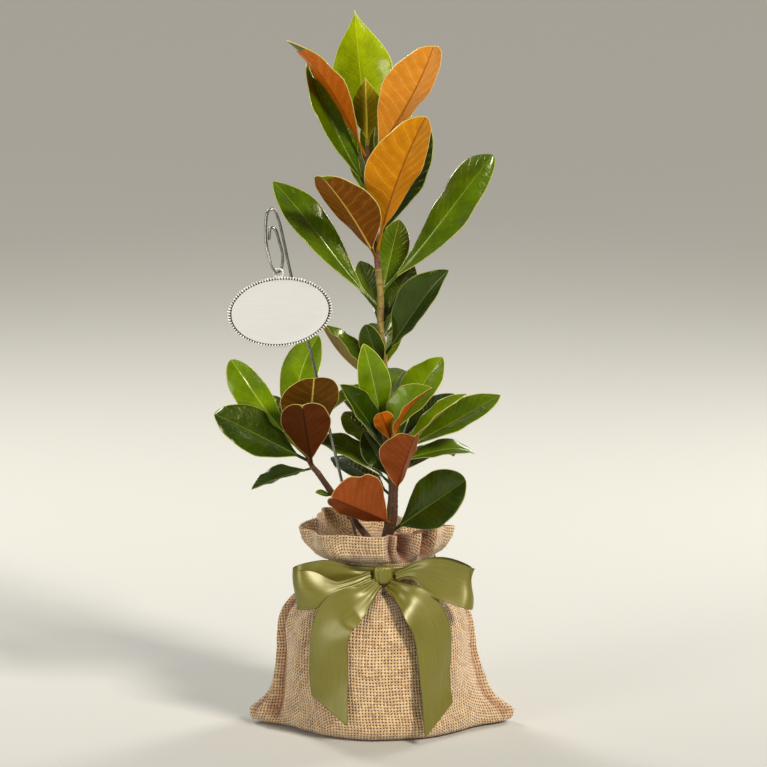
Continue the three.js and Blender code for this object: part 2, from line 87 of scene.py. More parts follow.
def ramp_up(x, low, high):
    """0 below low, 1 above high, and smooth between."""
    t = min(1, max(0, (x - low) / (high - low)))
    return t * t * (3 - 2 * t)


def hump(x, width):
    """1 where x is 0, falling to nothing over a few widths."""
    return math.exp(-((x / width) ** 2))


def chance(i):
    """A repeatable number from 0 to 1 for each whole number."""
    x = math.sin(i * 12.9898) * 43758.5453
    return x - math.floor(x)


def turn_between(a, b):
    """The signed angle from b to a."""
    return (a - b + math.pi) % (2 * math.pi) - math.pi


def oval(count, wide, deep, height):
    """Points round a level ellipse with these half widths."""
    turns = [j / count * 2 * math.pi for j in range(count)]
    return [Vector((wide * math.cos(turn), deep * math.sin(turn), height)) for turn in turns]


def both_faces(across, first):
    """The places round a thin section, over its first face (1 or -1) and back over the other."""
    return [(v, first) for v in across] + [(v, -first) for v in reversed(across)]


def cubic(a, b, start, end, t):
    """The point at t from a to b, leaving at the slope start and arriving at the slope end."""
    return a + start * t + (3 * (b - a) - 2 * start - end) * t * t + (2 * (a - b) + start + end) * t**3


def spline(points, steps=24):
    """Closely spaced points on a smooth curve through the given ones."""
    p = [Vector(q) for q in points]
    p = [2 * p[0] - p[1]] + p + [2 * p[-1] - p[-2]]
    line = []
    for i in range(1, len(p) - 2):
        a, b, c, d = p[i - 1 : i + 3]
        gap = [math.sqrt((u - v).length) or 1e-3 for u, v in ((b, a), (c, b), (d, c))]
        start = (b - a) / gap[0] - (c - a) / (gap[0] + gap[1]) + (c - b) / gap[1]
        end = (c - b) / gap[1] - (d - b) / (gap[1] + gap[2]) + (d - c) / gap[2]
        line += [cubic(b, c, start * gap[1], end * gap[1], k / steps) for k in range(steps)]
    return line + [p[-2]]


class Route:
    """A smooth curve through points, read by its share of length from foot to tip."""

    def __init__(self, points):
        self.line = spline(points)
        self.far = [0.0]
        for a, b in zip(self.line, self.line[1:]):
            self.far.append(self.far[-1] + (b - a).length)
        self.length = self.far[-1]

    def at(self, t):
        goal = min(1, max(0, t)) * self.length
        low, high = 0, len(self.far) - 1
        while high - low > 1:
            middle = (low + high) // 2
            if self.far[middle] < goal:
                low = middle
            else:
                high = middle
        part = (goal - self.far[low]) / max(1e-9, self.far[high] - self.far[low])
        return self.line[low].lerp(self.line[high], part)

    def along(self, t):
        return (self.at(min(1, t + 0.004)) - self.at(max(0, t - 0.004))).normalized()

    def at_height(self, z):
        low, high = 0.0, 1.0
        for _ in range(30):
            middle = (low + high) / 2
            if self.at(middle).z < z:
                low = middle
            else:
                high = middle
        return self.at(low)

    def spaced(self, count):
        return [self.at(i / (count - 1)) for i in range(count)]


class Build:
    """Points, faces, materials, UVs and point values that end up as one mesh object."""

    def __init__(self):
        self.points, self.faces, self.slots, self.uvs = [], [], [], []
        self.values = defaultdict(list)

    def rings(self, rings, uv, slot=lambda i, j: 0, loop=True, closed=True):
        """Joins rings of points. uv and slot are read at a ring and a place in it. loop joins the
        end of each ring to its start, and closed fills the first and the last ring."""
        start, around, last = len(self.points), len(rings[0]), len(rings) - 1
        for ring in rings:
            self.points += ring
        for i in range(last):
            for j in range(around if loop else around - 1):
                k = (j + 1) % around
                corners = ((i, j), (i, k), (i + 1, k), (i + 1, j))
                self.faces.append([start + r * around + c for r, c in corners])
                self.uvs += [uv(i, j), uv(i, j + 1), uv(i + 1, j + 1), uv(i + 1, j)]
                self.slots.append(slot(i, j))
        if closed:
            for i, places in ((0, range(around - 1, -1, -1)), (last, range(around))):
                self.faces.append([start + i * around + j for j in places])
                self.uvs += [uv(i, j) for j in places]
                self.slots.append(slot(min(i, last - 1), 0))

    def done(self, name, materials):
        mesh = bpy.data.meshes.new(name)
        mesh.from_pydata([p * MM for p in self.points], [], self.faces)
        layer = mesh.uv_layers.new(name="cut")
        for corner, uv in zip(layer.data, self.uvs):
            corner.uv = uv
        for label, numbers in self.values.items():
            held = mesh.attributes.new(label, "FLOAT", "POINT")
            held.data.foreach_set("value", numbers)
        for finish in materials:
            mesh.materials.append(finish)
        mesh.polygons.foreach_set("material_index", self.slots)
        mesh.polygons.foreach_set("use_smooth", [True] * len(self.faces))
        mesh.validate()
        mesh.update()
        return place(name, mesh)


def place(name, mesh):
    made = bpy.data.objects.new(name, mesh)
    bpy.context.scene.collection.objects.link(made)
    return made


def line_mesh(name, points):
    """A string of points and edges, for a tree that follows it."""
    mesh = bpy.data.meshes.new(name)
    edges = [(i, i + 1) for i in range(len(points) - 1)]
    mesh.from_pydata([p * MM for p in points], edges, [])
    return mesh


def finish_piece(piece, slot, *nodes):
    """Carries the piece on the body and hides the CAD nodes it stands for."""
    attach(piece, "root")
    if nodes:
        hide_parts(*nodes)


# ---------- helpers for nodes ----------


def linear(code):
    """An sRGB hex colour as linear RGBA."""
    parts = [int(code[i : i + 2], 16) / 255 for i in (1, 3, 5)]
    flat = [c / 12.92 if c <= 0.04045 else ((c + 0.055) / 1.055) ** 2.4 for c in parts]
    return (*flat, 1.0)


def socket_name(key):
    """A keyword as Blender spells the socket: specular_ior_level is Specular IOR Level."""
    return key.replace("_", " ").title().replace("Ior", "IOR")


def node(tree, kind, inputs=None, out=0, stops=None, **settings):
    """Adds a node and gives back one of its outputs, or all of them where out is None. inputs are
    values or sockets by name or place, and stops are a ramp's colours."""
    made = tree.nodes.new(kind)
    for key, value in settings.items():
        setattr(made, key, value)
    for key, value in (inputs or {}).items():
        socket = made.inputs[key]
        if isinstance(value, bpy.types.NodeSocket):
            tree.links.new(value, socket)
        else:
            socket.default_value = value
    if stops:
        bar = made.color_ramp.elements
        while len(bar) < len(stops):
            bar.new(0.5)
        for mark, (where, code) in zip(bar, stops):
            mark.position = where
            mark.color = linear(code)
    return made.outputs if out is None else made.outputs[out]


def material(name, **shader):
    """A new material with its shader's own values set, its tree and its shader's inputs."""
    made = bpy.data.materials.new(name)
    made.use_nodes = True
    body = made.node_tree.nodes["Principled BSDF"].inputs
    for key, value in shader.items():
        body[socket_name(key)].default_value = value
    return made, made.node_tree, body


def lay_over(tree, skin, layers):
    """Lays colours over a skin, one after the other. A layer is the value it follows, that
    value's two ends, the layer's share of the surface at each, its colour and the way between."""
    for value, low, high, share_low, share_high, code, way in layers:
        share = node(
            tree,
            "ShaderNodeMapRange",
            {"Value": value, "From Min": low, "From Max": high, "To Min": share_low, "To Max": share_high},
            interpolation_type=way,
        )
        skin = node(tree, "ShaderNodeMix", {0: share, 6: skin, 7: linear(code)}, 2, data_type="RGBA")
    return skin


def surface(tree, body, skin, height=None, relief=None):
    """Gives the shader its colour and, by strength and depth in metres, the relief of a height."""
    tree.links.new(skin, body["Base Color"])
    if relief:
        strength, deep = relief
        bump = node(tree, "ShaderNodeBump", {"Strength": strength, "Distance": deep, "Height": height})
        tree.links.new(bump, body["Normal"])


def speckled(name, scale, detail, stops, relief=None, stretch=None, **shader):
    """A finish whose colour follows a noise, with so many grains to a metre. stretch scales the
    noise for each axis on its own."""
    finish, tree, body = material(name, **shader)
    spot = node(tree, "ShaderNodeTexCoord", out="Object")
    if stretch:
        spot = node(tree, "ShaderNodeMapping", {"Vector": spot, "Scale": stretch})
    grain = node(tree, "ShaderNodeTexNoise", {"Vector": spot, "Scale": scale, "Detail": detail})
    surface(tree, body, node(tree, "ShaderNodeValToRGB", {0: grain}, stops=stops), grain, relief)
    return finish


def rule(name, **sizes):
    """A Geometry Nodes tree with a named input for each size, and those inputs."""
    tree = bpy.data.node_groups.new(name, "GeometryNodeTree")
    for way in ("INPUT", "OUTPUT"):
        tree.interface.new_socket("Geometry", in_out=way, socket_type="NodeSocketGeometry")
    for key, value in sizes.items():
        kind = "NodeSocketInt" if isinstance(value, int) else "NodeSocketFloat"
        socket = tree.interface.new_socket(socket_name(key), in_out="INPUT", socket_type=kind)
        socket.default_value = value
    return tree, node(tree, "NodeGroupInput", out=None)


def close_rule(tree, geometry, finish):
    """Realizes what the tree made, shades it smooth, gives it its material and puts it out."""
    real = node(tree, "GeometryNodeRealizeInstances", {"Geometry": geometry})
    even = node(tree, "GeometryNodeSetShadeSmooth", {"Geometry": real})
    coat = node(tree, "GeometryNodeSetMaterial", {"Geometry": even, "Material": finish})
    node(tree, "NodeGroupOutput", {"Geometry": coat}, None)
    return tree


def grow(name, base, tree, **sizes):
    """The plain mesh object that a tree makes of a base mesh."""
    carrier = place(f"{name}_base", base)
    modifier = carrier.modifiers.new(name, "NODES")
    modifier.node_group = tree
    wanted = {socket_name(key): value for key, value in sizes.items()}
    for item in tree.interface.items_tree:
        if item.name in wanted and item.in_out == "INPUT":
            modifier[item.identifier] = wanted[item.name]
    view = bpy.context.evaluated_depsgraph_get()
    mesh = bpy.data.meshes.new_from_object(carrier.evaluated_get(view))
    carrier.modifiers.remove(modifier)
    bpy.data.objects.remove(carrier)
    mesh.name = name
    return place(name, mesh)


# ---------- leaf materials ----------


def leaf_skin(name, codes, felt, wax=1.0):
    """One side of an evergreen magnolia's leaf. The upper side is a waxed, leathery green, which
    gives sharp broad highlights, and wax is how far that gloss has come with age. The underside
    is rust-coloured felt, which is matt, with the veins drawn on it."""

    def side(above, below):
        return below if felt else above

    ground, shade, vein, rib, edge = codes
    finish, tree, body = material(
        name,
        roughness=side(mix(0.5, 0.28, wax), 0.58),
        ior=1.45,
        specular_ior_level=side(mix(0.12, 0.36, wax), 0.25),
        specular_tint=linear(side("#d0d678", "#ecdcae")),
        coat_weight=side(0.45 * wax, 0.0),
        coat_roughness=0.13,
    )
    cut = node(tree, "ShaderNodeUVMap", uv_map="cut")
    across, up_blade, _ = node(tree, "ShaderNodeSeparateXYZ", {0: cut}, None)
    here = node(tree, "ShaderNodeTexCoord", out="Object")
    # Side veins leave the midrib forward. The felt lets only the stronger ones show.
    wander = node(tree, "ShaderNodeTexNoise", {"Vector": here, "Scale": 70.0, "Detail": 2.0})
    climb = node(
        tree, "ShaderNodeMath", {0: up_blade, 1: side(14.0, 10.0), 2: wander}, operation="MULTIPLY_ADD"
    )
    from_rib = node(tree, "ShaderNodeMath", {0: across}, operation="ABSOLUTE")
    slant = node(
        tree, "ShaderNodeMath", {0: from_rib, 1: side(-2.5, -1.6), 2: climb}, operation="MULTIPLY_ADD"
    )
    to_vein = node(tree, "ShaderNodeMath", {0: slant, 1: 0.5}, operation="PINGPONG")
    veins = node(
        tree,
        "ShaderNodeMapRange",
        {"Value": to_vein, "From Min": 0.0, "From Max": 0.07, "To Min": 1.0, "To Max": 0.0},
        interpolation_type="SMOOTHSTEP",
    )
    mottle = node(
        tree,
        "ShaderNodeTexNoise",
        {"Vector": here, "Scale": side(55.0, 160.0), "Detail": 5.0, "Roughness": 0.6},
    )
    to_rib = node(tree, "ShaderNodeAttribute", out="Fac", attribute_name="to_rib")
    to_edge = node(tree, "ShaderNodeAttribute", out="Fac", attribute_name="to_edge")
    # The blade is darker toward the stalk and between its veins, painted shade that gives it depth. The
    # midrib is 2 mm across below and a finer line above, and a pale margin of 0.6 mm runs all round.
    layers = (
        (mottle, side(0.36, 0.1), side(0.66, 0.75), 0.0, 1.0, ground, "LINEAR"),
        (up_blade, 0.0, 0.7, side(0.3, 0.7), 0.0, shade, "LINEAR"),
        (to_vein, 0.06, 0.5, 0.0, side(0.2, 0.42), shade, "SMOOTHSTEP"),
        (veins, 0.0, 1.0, 0.0, side(0.16, 0.34), vein, "LINEAR"),
        (to_rib, side(0.28, 0.46), side(0.7, 1.15), side(0.6, 0.95), 0.0, rib, "LINEAR"),
        (to_edge, 0.24, 0.6, 0.9, 0.0, edge, "LINEAR"),
    )
    skin = lay_over(tree, linear(shade), layers)
    # Veins are sunk into the upper side and stand out below.
    grain = node(tree, "ShaderNodeTexNoise", {"Vector": here, "Scale": side(240.0, 900.0)})
    height = node(
        tree, "ShaderNodeMath", {0: veins, 1: side(-0.8, 0.6), 2: grain}, operation="MULTIPLY_ADD"
    )
    surface(tree, body, skin, height, (0.5, 0.001))
    return finish


# The upper sides, by how old the leaf is and how lit it is, with the light painted in: sunlit is a
# lit copy of the green and dusk a shaded one. Each is colour, shade, vein, midrib, margin.
UPPER = {
    "deep": ("#314500", "#203000", "#516a18", "#6f8430", "#a9ad50"),
    "green": ("#526c00", "#3a5000", "#728c26", "#8f9f3c", "#bcbe5c"),
    "fresh": ("#708c00", "#526c00", "#94a832", "#b6be55", "#d2cf70"),
    "sunlit": ("#a8bc00", "#869600", "#c0c628", "#d6d044", "#e2da66"),
    "dusk": ("#26380a", "#182704", "#3f5322", "#7d8d4a", "#99a160"),
}
YOUNG_WAX = {"sunlit": 0.15, "fresh": 0.85}
# The undersides' felt, by age: the youngest leaves are the most orange.
UNDER = {
    "amber": ("#f8a436", "#da8420", "#fcc470", "#b4621a", "#f8dea0"),
    "ochre": ("#de920e", "#b06a04", "#ecb440", "#8a4a08", "#f0d48e"),
    "copper": ("#d8700e", "#ae5604", "#e29434", "#8c4206", "#efc27c"),
    "umber": ("#905406", "#663402", "#c48c36", "#e0b850", "#dec277"),
    "chestnut": ("#644008", "#4c2c04", "#7c6422", "#c8b04a", "#c9b565"),
    "mahogany": ("#5c2804", "#461c00", "#64300e", "#2a1004", "#c4a25c"),
    "rust": ("#94491e", "#7c3a14", "#a45c2c", "#5c2c10", "#d8b078"),
    "olive": ("#b89c10", "#8a7406", "#d0b440", "#d6bc48", "#d8c65c"),
    "tan": ("#a9913f", "#867030", "#bca85c", "#c3b070", "#cfc285"),
}
leaf_materials = [
    leaf_skin(f"waxed_leaf_{name}", codes, felt=False, wax=YOUNG_WAX.get(name, 1.0))
    for name, codes in UPPER.items()
]
leaf_materials += [
    leaf_skin(f"felted_leaf_{name}", codes, felt=True) for name, codes in UNDER.items()
]
skin_slot = {name: i for i, name in enumerate([*UPPER, *UNDER])}


# ---------- leaves ----------

# Places across a blade, from its left margin (-1) over the midrib (0) to its right margin.
ACROSS = (-1, -0.93, -0.78, -0.55, -0.3, -0.1, 0, 0.1, 0.3, 0.55, 0.78, 0.93, 1)
LEAF_SECTION = both_faces(ACROSS, 1)
BLADE_STEPS = 26
PETIOLE_RADIUS = 1.2
TIP_HALF_WIDTH = 0.25
FAR_OFF = 3  # stands for any distance from a line past which it doesn't colour the skin
USUAL = {
    "stalk": 0.1, "bend": 0, "sway": 0, "hook": 0, "fold": 12, "widest": 0.58, "point": 0.75,
    "left": 1, "right": 1, "skew": 0, "heart": 0, "ripple": 0.7, "tip": 0,
}


def outline(s, widest, point):
    """Half the blade's width as a share of its greatest, from its foot (0) to its tip (1)."""
    if s < widest:
        return math.sin(math.pi / 2 * s / widest) ** 1.25
    return max(0, math.cos(math.pi / 2 * (s - widest) / (1 - widest))) ** point


def leaf(build, seed, foot, reach, wide, looks, upper, under, **own):
    """Adds a leaf. reach is the span from its foot to its tip, looks the way its upper side
    faces. stalk is the stalk's share of the length. bend, sway and hook curve its line as shares
    of its length, and fold raises its two halves by that many degrees. widest is how far up the
    blade its widest place is, and point shapes its tip, blunt below 1. left and right are how
    wide each half is beside its usual width, skew widens the left one nearer the tip and the
    right one nearer the foot, and heart runs the lobes on past the tip. ripple waves the margins,
    and tip is the share of the far end that shows the other side's colours, without turning over."""
    form = {**USUAL, **own}
    span = Vector(reach)
    length = span.length
    along = span.normalized()
    up = Vector(looks)
    up = (up - along * up.dot(along)).normalized()
    right = along.cross(up)
    stalk = form["stalk"]
    thick = 0.0105 * length
    turn = 6 * chance(seed)

    def centre(t):
        arch = 4 * form["bend"] * t * (1 - t) + 6.75 * form["hook"] * t * t * (1 - t)
        return foot + span * t + up * (length * arch) + right * (4 * length * form["sway"] * t * (1 - t))

    stations = [0, 0.3 * stalk, 0.6 * stalk, 0.85 * stalk]
    for i in range(BLADE_STEPS + 1):
        stations.append(mix(stalk, 1, math.sin(math.pi / 2 * i / BLADE_STEPS) ** 1.1))
    up_blade = [max(0, (t - stalk) / (1 - stalk)) for t in stations]
    rings = []
    for t, s in zip(stations, up_blade):
        middle = centre(t)
        tangent = (centre(t + 0.01) - centre(t - 0.01)).normalized()
        normal = (up - tangent * up.dot(tangent)).normalized()
        side = tangent.cross(normal)
        halves = []
        for half_side, skew in (("left", form["skew"]), ("right", -form["skew"])):
            full = wide / 2 * outline(s, form["widest"] + skew, form["point"])
            halves.append(max(mix(PETIOLE_RADIUS, TIP_HALF_WIDTH, s), full * form[half_side]))
        lift = math.radians(form["fold"]) * ramp_up(s, 0, 0.25)
        blade = ramp_up(t, 0, 1.6 * stalk)
        ring = []
        for v, face in LEAF_SECTION:
            size = abs(v)
            half = halves[0 if v < 0 else 1]
            round_stalk = math.sqrt(max(0, 1 - v * v)) * PETIOLE_RADIUS
            flat_blade = thick / 2 * (1 - 0.55 * size**3)
            keel = 0.35 * hump(v, 0.12) * (1 - s) * blade if face == -1 else 0
            deep = mix(round_stalk, flat_blade, blade) + keel
            # Each half rises from the midrib, rounds over a little and waves at its margin.
            rise = half * (size * math.sin(lift) + blade * 0.12 * (size - v * v))
            rise -= 0.35 * hump(v, 0.14) * blade * (1 - s)
            wave = math.sin(17 * s + turn + (1.9 if v > 0 else 0))
            wave += 0.6 * math.sin(29 * s + 2 * turn + v)
            rise += form["ripple"] * blade * size * size * wave * min(1, half / 12)
            ring.append(
                middle
                + side * (half * v * math.cos(lift))
                + tangent * (length * form["heart"] * size * s**5)
                + normal * (rise + face * deep)
            )
            # Both lines fade out on the stalk, and the midrib thins toward the tip.
            build.values["to_rib"].append(size * half + (0 if s > 0.01 else FAR_OFF) + 0.3 * s)
            build.values["to_edge"].append((1 - size) * half + FAR_OFF * (1 - blade))
        rings.append(ring)

    def slot(i, j):
        shows_upper = j < len(ACROSS) or j == len(LEAF_SECTION) - 1
        if up_blade[i] > 1 - form["tip"]:
            shows_upper = not shows_upper
        return skin_slot[upper if shows_upper else under]

    build.rings(rings, lambda i, j: (LEAF_SECTION[j % len(LEAF_SECTION)][0], up_blade[i]), slot)


# ---------- bark ----------


def bark(name, young, old, scar, rings):
    """Young smooth bark, olive where it is green underneath, ringed by leaf scars, so many to a
    metre, with small pale pores. It is matt with a faint sheen."""
    finish, tree, body = material(name, roughness=0.6, ior=1.45, sheen_weight=0.1)
    here = node(tree, "ShaderNodeTexCoord", out="Object")
    blotch = node(
        tree, "ShaderNodeTexNoise", {"Vector": here, "Scale": 120.0, "Detail": 5.0, "Roughness": 0.65}
    )
    height_here = node(tree, "ShaderNodeSeparateXYZ", {0: here}, 2)
    # The blotches shift each scar a little.
    along = node(tree, "ShaderNodeAttribute", out="Fac", attribute_name="along")
    shift = node(tree, "ShaderNodeMath", {0: blotch, 1: 0.6}, operation="MULTIPLY")
    count = node(tree, "ShaderNodeMath", {0: along, 1: rings, 2: shift}, operation="MULTIPLY_ADD")
    to_ring = node(tree, "ShaderNodeMath", {0: count, 1: 0.5}, operation="PINGPONG")
    ring = node(
        tree,
        "ShaderNodeMapRange",
        {"Value": to_ring, "From Min": 0.02, "From Max": 0.1, "To Min": 0.5, "To Max": 0.0},
    )
    pores = node(tree, "ShaderNodeTexVoronoi", {"Vector": here, "Scale": 420.0}, "Distance")
    # The oldest bark, below 190 to 250 mm from the floor, has turned a dull brown.
    layers = (
        (blotch, 0.35, 0.65, 0.0, 1.0, young, "LINEAR"),
        (height_here, 0.19, 0.25, 0.85, 0.0, "#4a2c1a", "LINEAR"),
        (ring, 0.0, 1.0, 0.0, 1.0, scar, "LINEAR"),
        (pores, 0.08, 0.2, 0.5, 0.0, "#b9a56a", "LINEAR"),
    )
    skin = lay_over(tree, linear(old), layers)
    height = node(tree, "ShaderNodeMath", {0: blotch, 1: 1.4, 2: ring}, operation="MULTIPLY_ADD")
    surface(tree, body, skin, height, (0.5, 0.0005))
    return finish


barks = {
    "bark": bark("olive_young_bark", "#95843a", "#6f5524", "#5a3316", 110.0),
    "twig_bark": bark("red_brown_twig_bark", "#6f4224", "#4b2715", "#35180c", 140.0),
}


# ---------- limbs ----------


def limb_rule():
    """Sweeps a ring along a line, from its foot's radius to its tip's, and raises the bark's
    lumps and scars on it. half_gap is half the way from one raised scar to the next, in metres,
    where the other lengths are in millimetres."""
    tree, size = rule(
        "tapering_limb",
        foot_radius=4.0,
        tip_radius=2.0,
        flare=0.0,
        relief=0.55,
        half_gap=0.009,
        sides=20,
    )
    line = node(tree, "GeometryNodeMeshToCurve", {"Mesh": size["Geometry"]})
    share = node(tree, "GeometryNodeSplineParameter", out=None)
    taper = node(
        tree, "ShaderNodeMix", {0: share["Factor"], 2: size["Foot Radius"], 3: size["Tip Radius"]}
    )
    # The foot swells over the first fourteenth of the length, as the root flare.
    near_foot = node(
        tree,
        "ShaderNodeMath",
        {0: share["Factor"], 1: -14.0, 2: 1.0},
        operation="MULTIPLY_ADD",
        use_clamp=True,
    )
    swell = node(tree, "ShaderNodeMath", {0: near_foot, 1: 2.0}, operation="POWER")
    radius = node(tree, "ShaderNodeMath", {0: swell, 1: size["Flare"], 2: taper}, operation="MULTIPLY_ADD")
    marked = node(
        tree,
        "GeometryNodeStoreNamedAttribute",
        {"Geometry": line, "Name": "along", "Value": share["Length"]},
        data_type="FLOAT",
    )
    hoop = node(tree, "GeometryNodeCurvePrimitiveCircle", {"Resolution": size["Sides"], "Radius": MM})
    swept = node(
        tree,
        "GeometryNodeCurveToMesh",
        {"Curve": marked, "Profile Curve": hoop, "Scale": radius, "Fill Caps": True},
    )
    spot = node(tree, "GeometryNodeInputPosition")
    squeezed = node(tree, "ShaderNodeVectorMath", {0: spot, 1: (1.0, 1.0, 0.35)}, operation="MULTIPLY")
    lumps = node(tree, "ShaderNodeTexNoise", {"Vector": squeezed, "Scale": 330.0, "Detail": 3.0})
    about = node(tree, "ShaderNodeMath", {0: lumps, 1: 0.5}, operation="SUBTRACT")
    far = node(tree, "GeometryNodeInputNamedAttribute", {"Name": "along"}, data_type="FLOAT")
    beat = node(tree, "ShaderNodeMath", {0: far, 1: size["Half Gap"]}, operation="PINGPONG")
    scar = node(
        tree,
        "ShaderNodeMapRange",
        {"Value": beat, "From Min": 0.0, "From Max": 0.0009, "To Min": 0.5, "To Max": 0.0},
    )
    raised = node(tree, "ShaderNodeMath", {0: about, 1: scar}, operation="ADD")
    for factor in (size["Relief"], MM):
        raised = node(tree, "ShaderNodeMath", {0: raised, 1: factor}, operation="MULTIPLY")
    outward = node(tree, "GeometryNodeInputNormal")
    push = node(tree, "ShaderNodeVectorMath", {0: outward, "Scale": raised}, operation="SCALE")
    barked = node(tree, "GeometryNodeSetPosition", {"Geometry": swept, "Offset": push})
    return close_rule(tree, barked, barks["bark"])


trunk_route = Route(
    [
        (1, 0, SOIL_TOP + 0.3), (2.5, 0, 138), (6.5, 0, 160), (8, 0, 178), (6, 0, 197), (2, 0, 220),
        (0.5, 0, 245), (1.5, 0, 272), (-1, 0, 300), (-1, 0, 325), (-3, 0, 344),
    ]
)
left_bough = Route(
    [(1.5, 0, 126), (-9, -2, 140), (-21.5, -5.5, 156.5), (-35, -14, 175.5), (-47, -25, 195)]
)
right_bough = Route([(2.5, 0, 136), (6.5, -7, 147), (9, -12, 159), (9.5, -15, 176)])
top_shoot = Route([(-3, 0, 344), (-6, 0, 385), (-11, 0, 420), (-10, 0, 436)])
left_shoot = Route([(-47, -25, 195), (-52, -28, 202), (-56, -30, 212)])
right_shoot = Route([(9.5, -15, 176), (10, -16, 190), (8, -14, 208), (7, -12, 220)])

# Each limb's name, route, radius at its foot and tip, flare, bark and node.
LIMBS = [
    ("bark_trunk", trunk_route, 3.6, 2.3, 2.4, "bark", "trunk"),
    ("bark_bough_left", left_bough, 2.8, 2.2, 0.0, "twig_bark", "bough_left"),
    ("bark_bough_right", right_bough, 2.8, 2.3, 0.0, "twig_bark", "bough_right"),
    ("bark_shoot_top", top_shoot, 2.4, 1.6, 0.0, "twig_bark", "foliage_top"),
    ("bark_shoot_left", left_shoot, 2.2, 1.5, 0.0, "twig_bark", "foliage_left"),
    ("bark_shoot_right", right_shoot, 2.4, 1.5, 0.0, "twig_bark", "foliage_right"),
]
limb_tree = limb_rule()
for name, route, foot_radius, tip_radius, flare, bark_name, node_name in LIMBS:
    line = line_mesh(name, route.spaced(max(12, int(route.length / 0.9))))
    limb = grow(name, line, limb_tree, foot_radius=foot_radius, tip_radius=tip_radius, flare=flare)
    limb.data.materials.clear()
    limb.data.materials.append(barks[bark_name])
    finish_piece(limb, bark_name, node_name)


# ---------- the foliage ----------

# Leaves straight on the trunk: height of the foot, span to the tip, width, way the upper side
# faces, colours of the upper side and the underside, and the rest of the shape.
TRUNK_LEAVES = [
    (326, (83, 15, 100), 32, (-3, -9, 3), "green", "umber",
     {"sway": 0.03, "hook": 0.05, "fold": -20, "widest": 0.7, "skew": 0.14, "point": 0.5, "left": 1.2,
      "right": 0.9, "ripple": 1.2}),
    (314, (-80, 25, 91), 31, (4, -8, 4), "green", "umber",
     {"sway": -0.035, "hook": 0.06, "fold": 14, "widest": 0.68, "point": 0.85, "ripple": 0.35}),
    (318, (14, 44, 56), 26, (-1, -8, 3), "green", "umber", {"bend": 0.04}),
    (305, (-15, 43, 38), 20, (1, -8, 5), "green", "umber", {"bend": 0.04}),
    (300, (24, 32, 42), 24, (-2, -8, 4), "deep", "umber", {"bend": 0.04}),
    (278, (48, -24, 68), 37, (-6, -8, 3), "deep", "umber", {"hook": 0.04, "fold": 34}),
    (258, (-46, 26, 40), 34, (5, -2, 6.5), "green", "tan", {"bend": -0.1, "fold": 45}),
    (262, (-13, -5, 41), 20, (-3, -9, 1), "deep", "umber", {"fold": 16, "point": 0.5}),
    (256, (-38, 10, -20), 20, (-1, -4, 8), "fresh", "copper", {"bend": 0.08, "fold": 30}),
    (218, (-16, -14, 72), 26, (2, -9, 2), "fresh", "umber", {"hook": 0.04, "fold": 18}),
    (202, (-36, -29, 60), 27, (7, -6, 4), "deep", "umber", {"bend": 0.03, "fold": 24}),
    (192, (13, 46, 34), 24, (1, -8, 6), "green", "umber", {"bend": 0.03}),
    (200, (-34, 40, 29), 30, (3, -7, 7), "green", "umber", {"bend": 0.03}),
    (180, (-60, 12, 34), 27, (1, -4, 9), "green", "umber", {"bend": 0.1, "fold": 20}),
    (172, (-46, 42, 22), 26, (2, -5, 8), "dusk", "umber", {"bend": 0.06}),
    (184, (-22, -2, 38), 22, (2, -9, 3), "dusk", "umber", {}),
]
BACK_TURNS = (111, 74, 92, 76)

# The shoots' leaves: share of the way up the shoot, then as above.
TOP_LEAVES = [
    (0.93, (-9.5, 36, 101), 49, (-2, -9, 3), "sunlit", "amber",
     {"fold": -22, "widest": 0.55, "point": 1.4}),
    (0.97, (-2, -12, 53), 25, (1, 9, 3), "sunlit", "olive",
     {"fold": 30, "widest": 0.5, "point": 1.2}),
    (0.85, (48, -45, 90), 48, (-5, 8, 3), "green", "amber",
     {"sway": -0.05, "fold": 24, "point": 0.55}),
    (0.12, (35, -52, 107), 51, (-4, 8, 4), "green", "ochre",
     {"sway": 0.04, "fold": 22, "stalk": 0.18, "widest": 0.5, "point": 0.6}),
    (0.2, (39, 10, 88), 40, (-6, -7, 3), "deep", "umber", {"bend": -0.04}),
    (0.06, (-40, -44, 68), 49, (5, 7, 5), "fresh", "umber",
     {"bend": 0.04, "fold": 16, "widest": 0.52, "point": 0.5, "tip": 0.07, "right": 1.1,
      "ripple": 0.3}),
    (0.88, (-58, -20, 89), 38, (9, 5.5, 4), "green", "copper",
     {"bend": 0.045, "hook": 0.03, "fold": 10, "point": 1, "tip": 0.13}),
    (0.6, (-47, 12, 95), 36, (6, -7, 3), "green", "umber", {"sway": -0.04, "fold": 24}),
    (0.5, (18, 62, 74), 40, (-2, -8, 5), "green", "amber", {"hook": 0.05}),
    (0.75, (44, 44, 70), 38, (-6, -6, 5), "fresh", "amber", {"hook": 0.05}),
    (0.4, (-5, 69, 50), 38, (2, -7, 6), "green", "amber", {"hook": 0.05}),
]
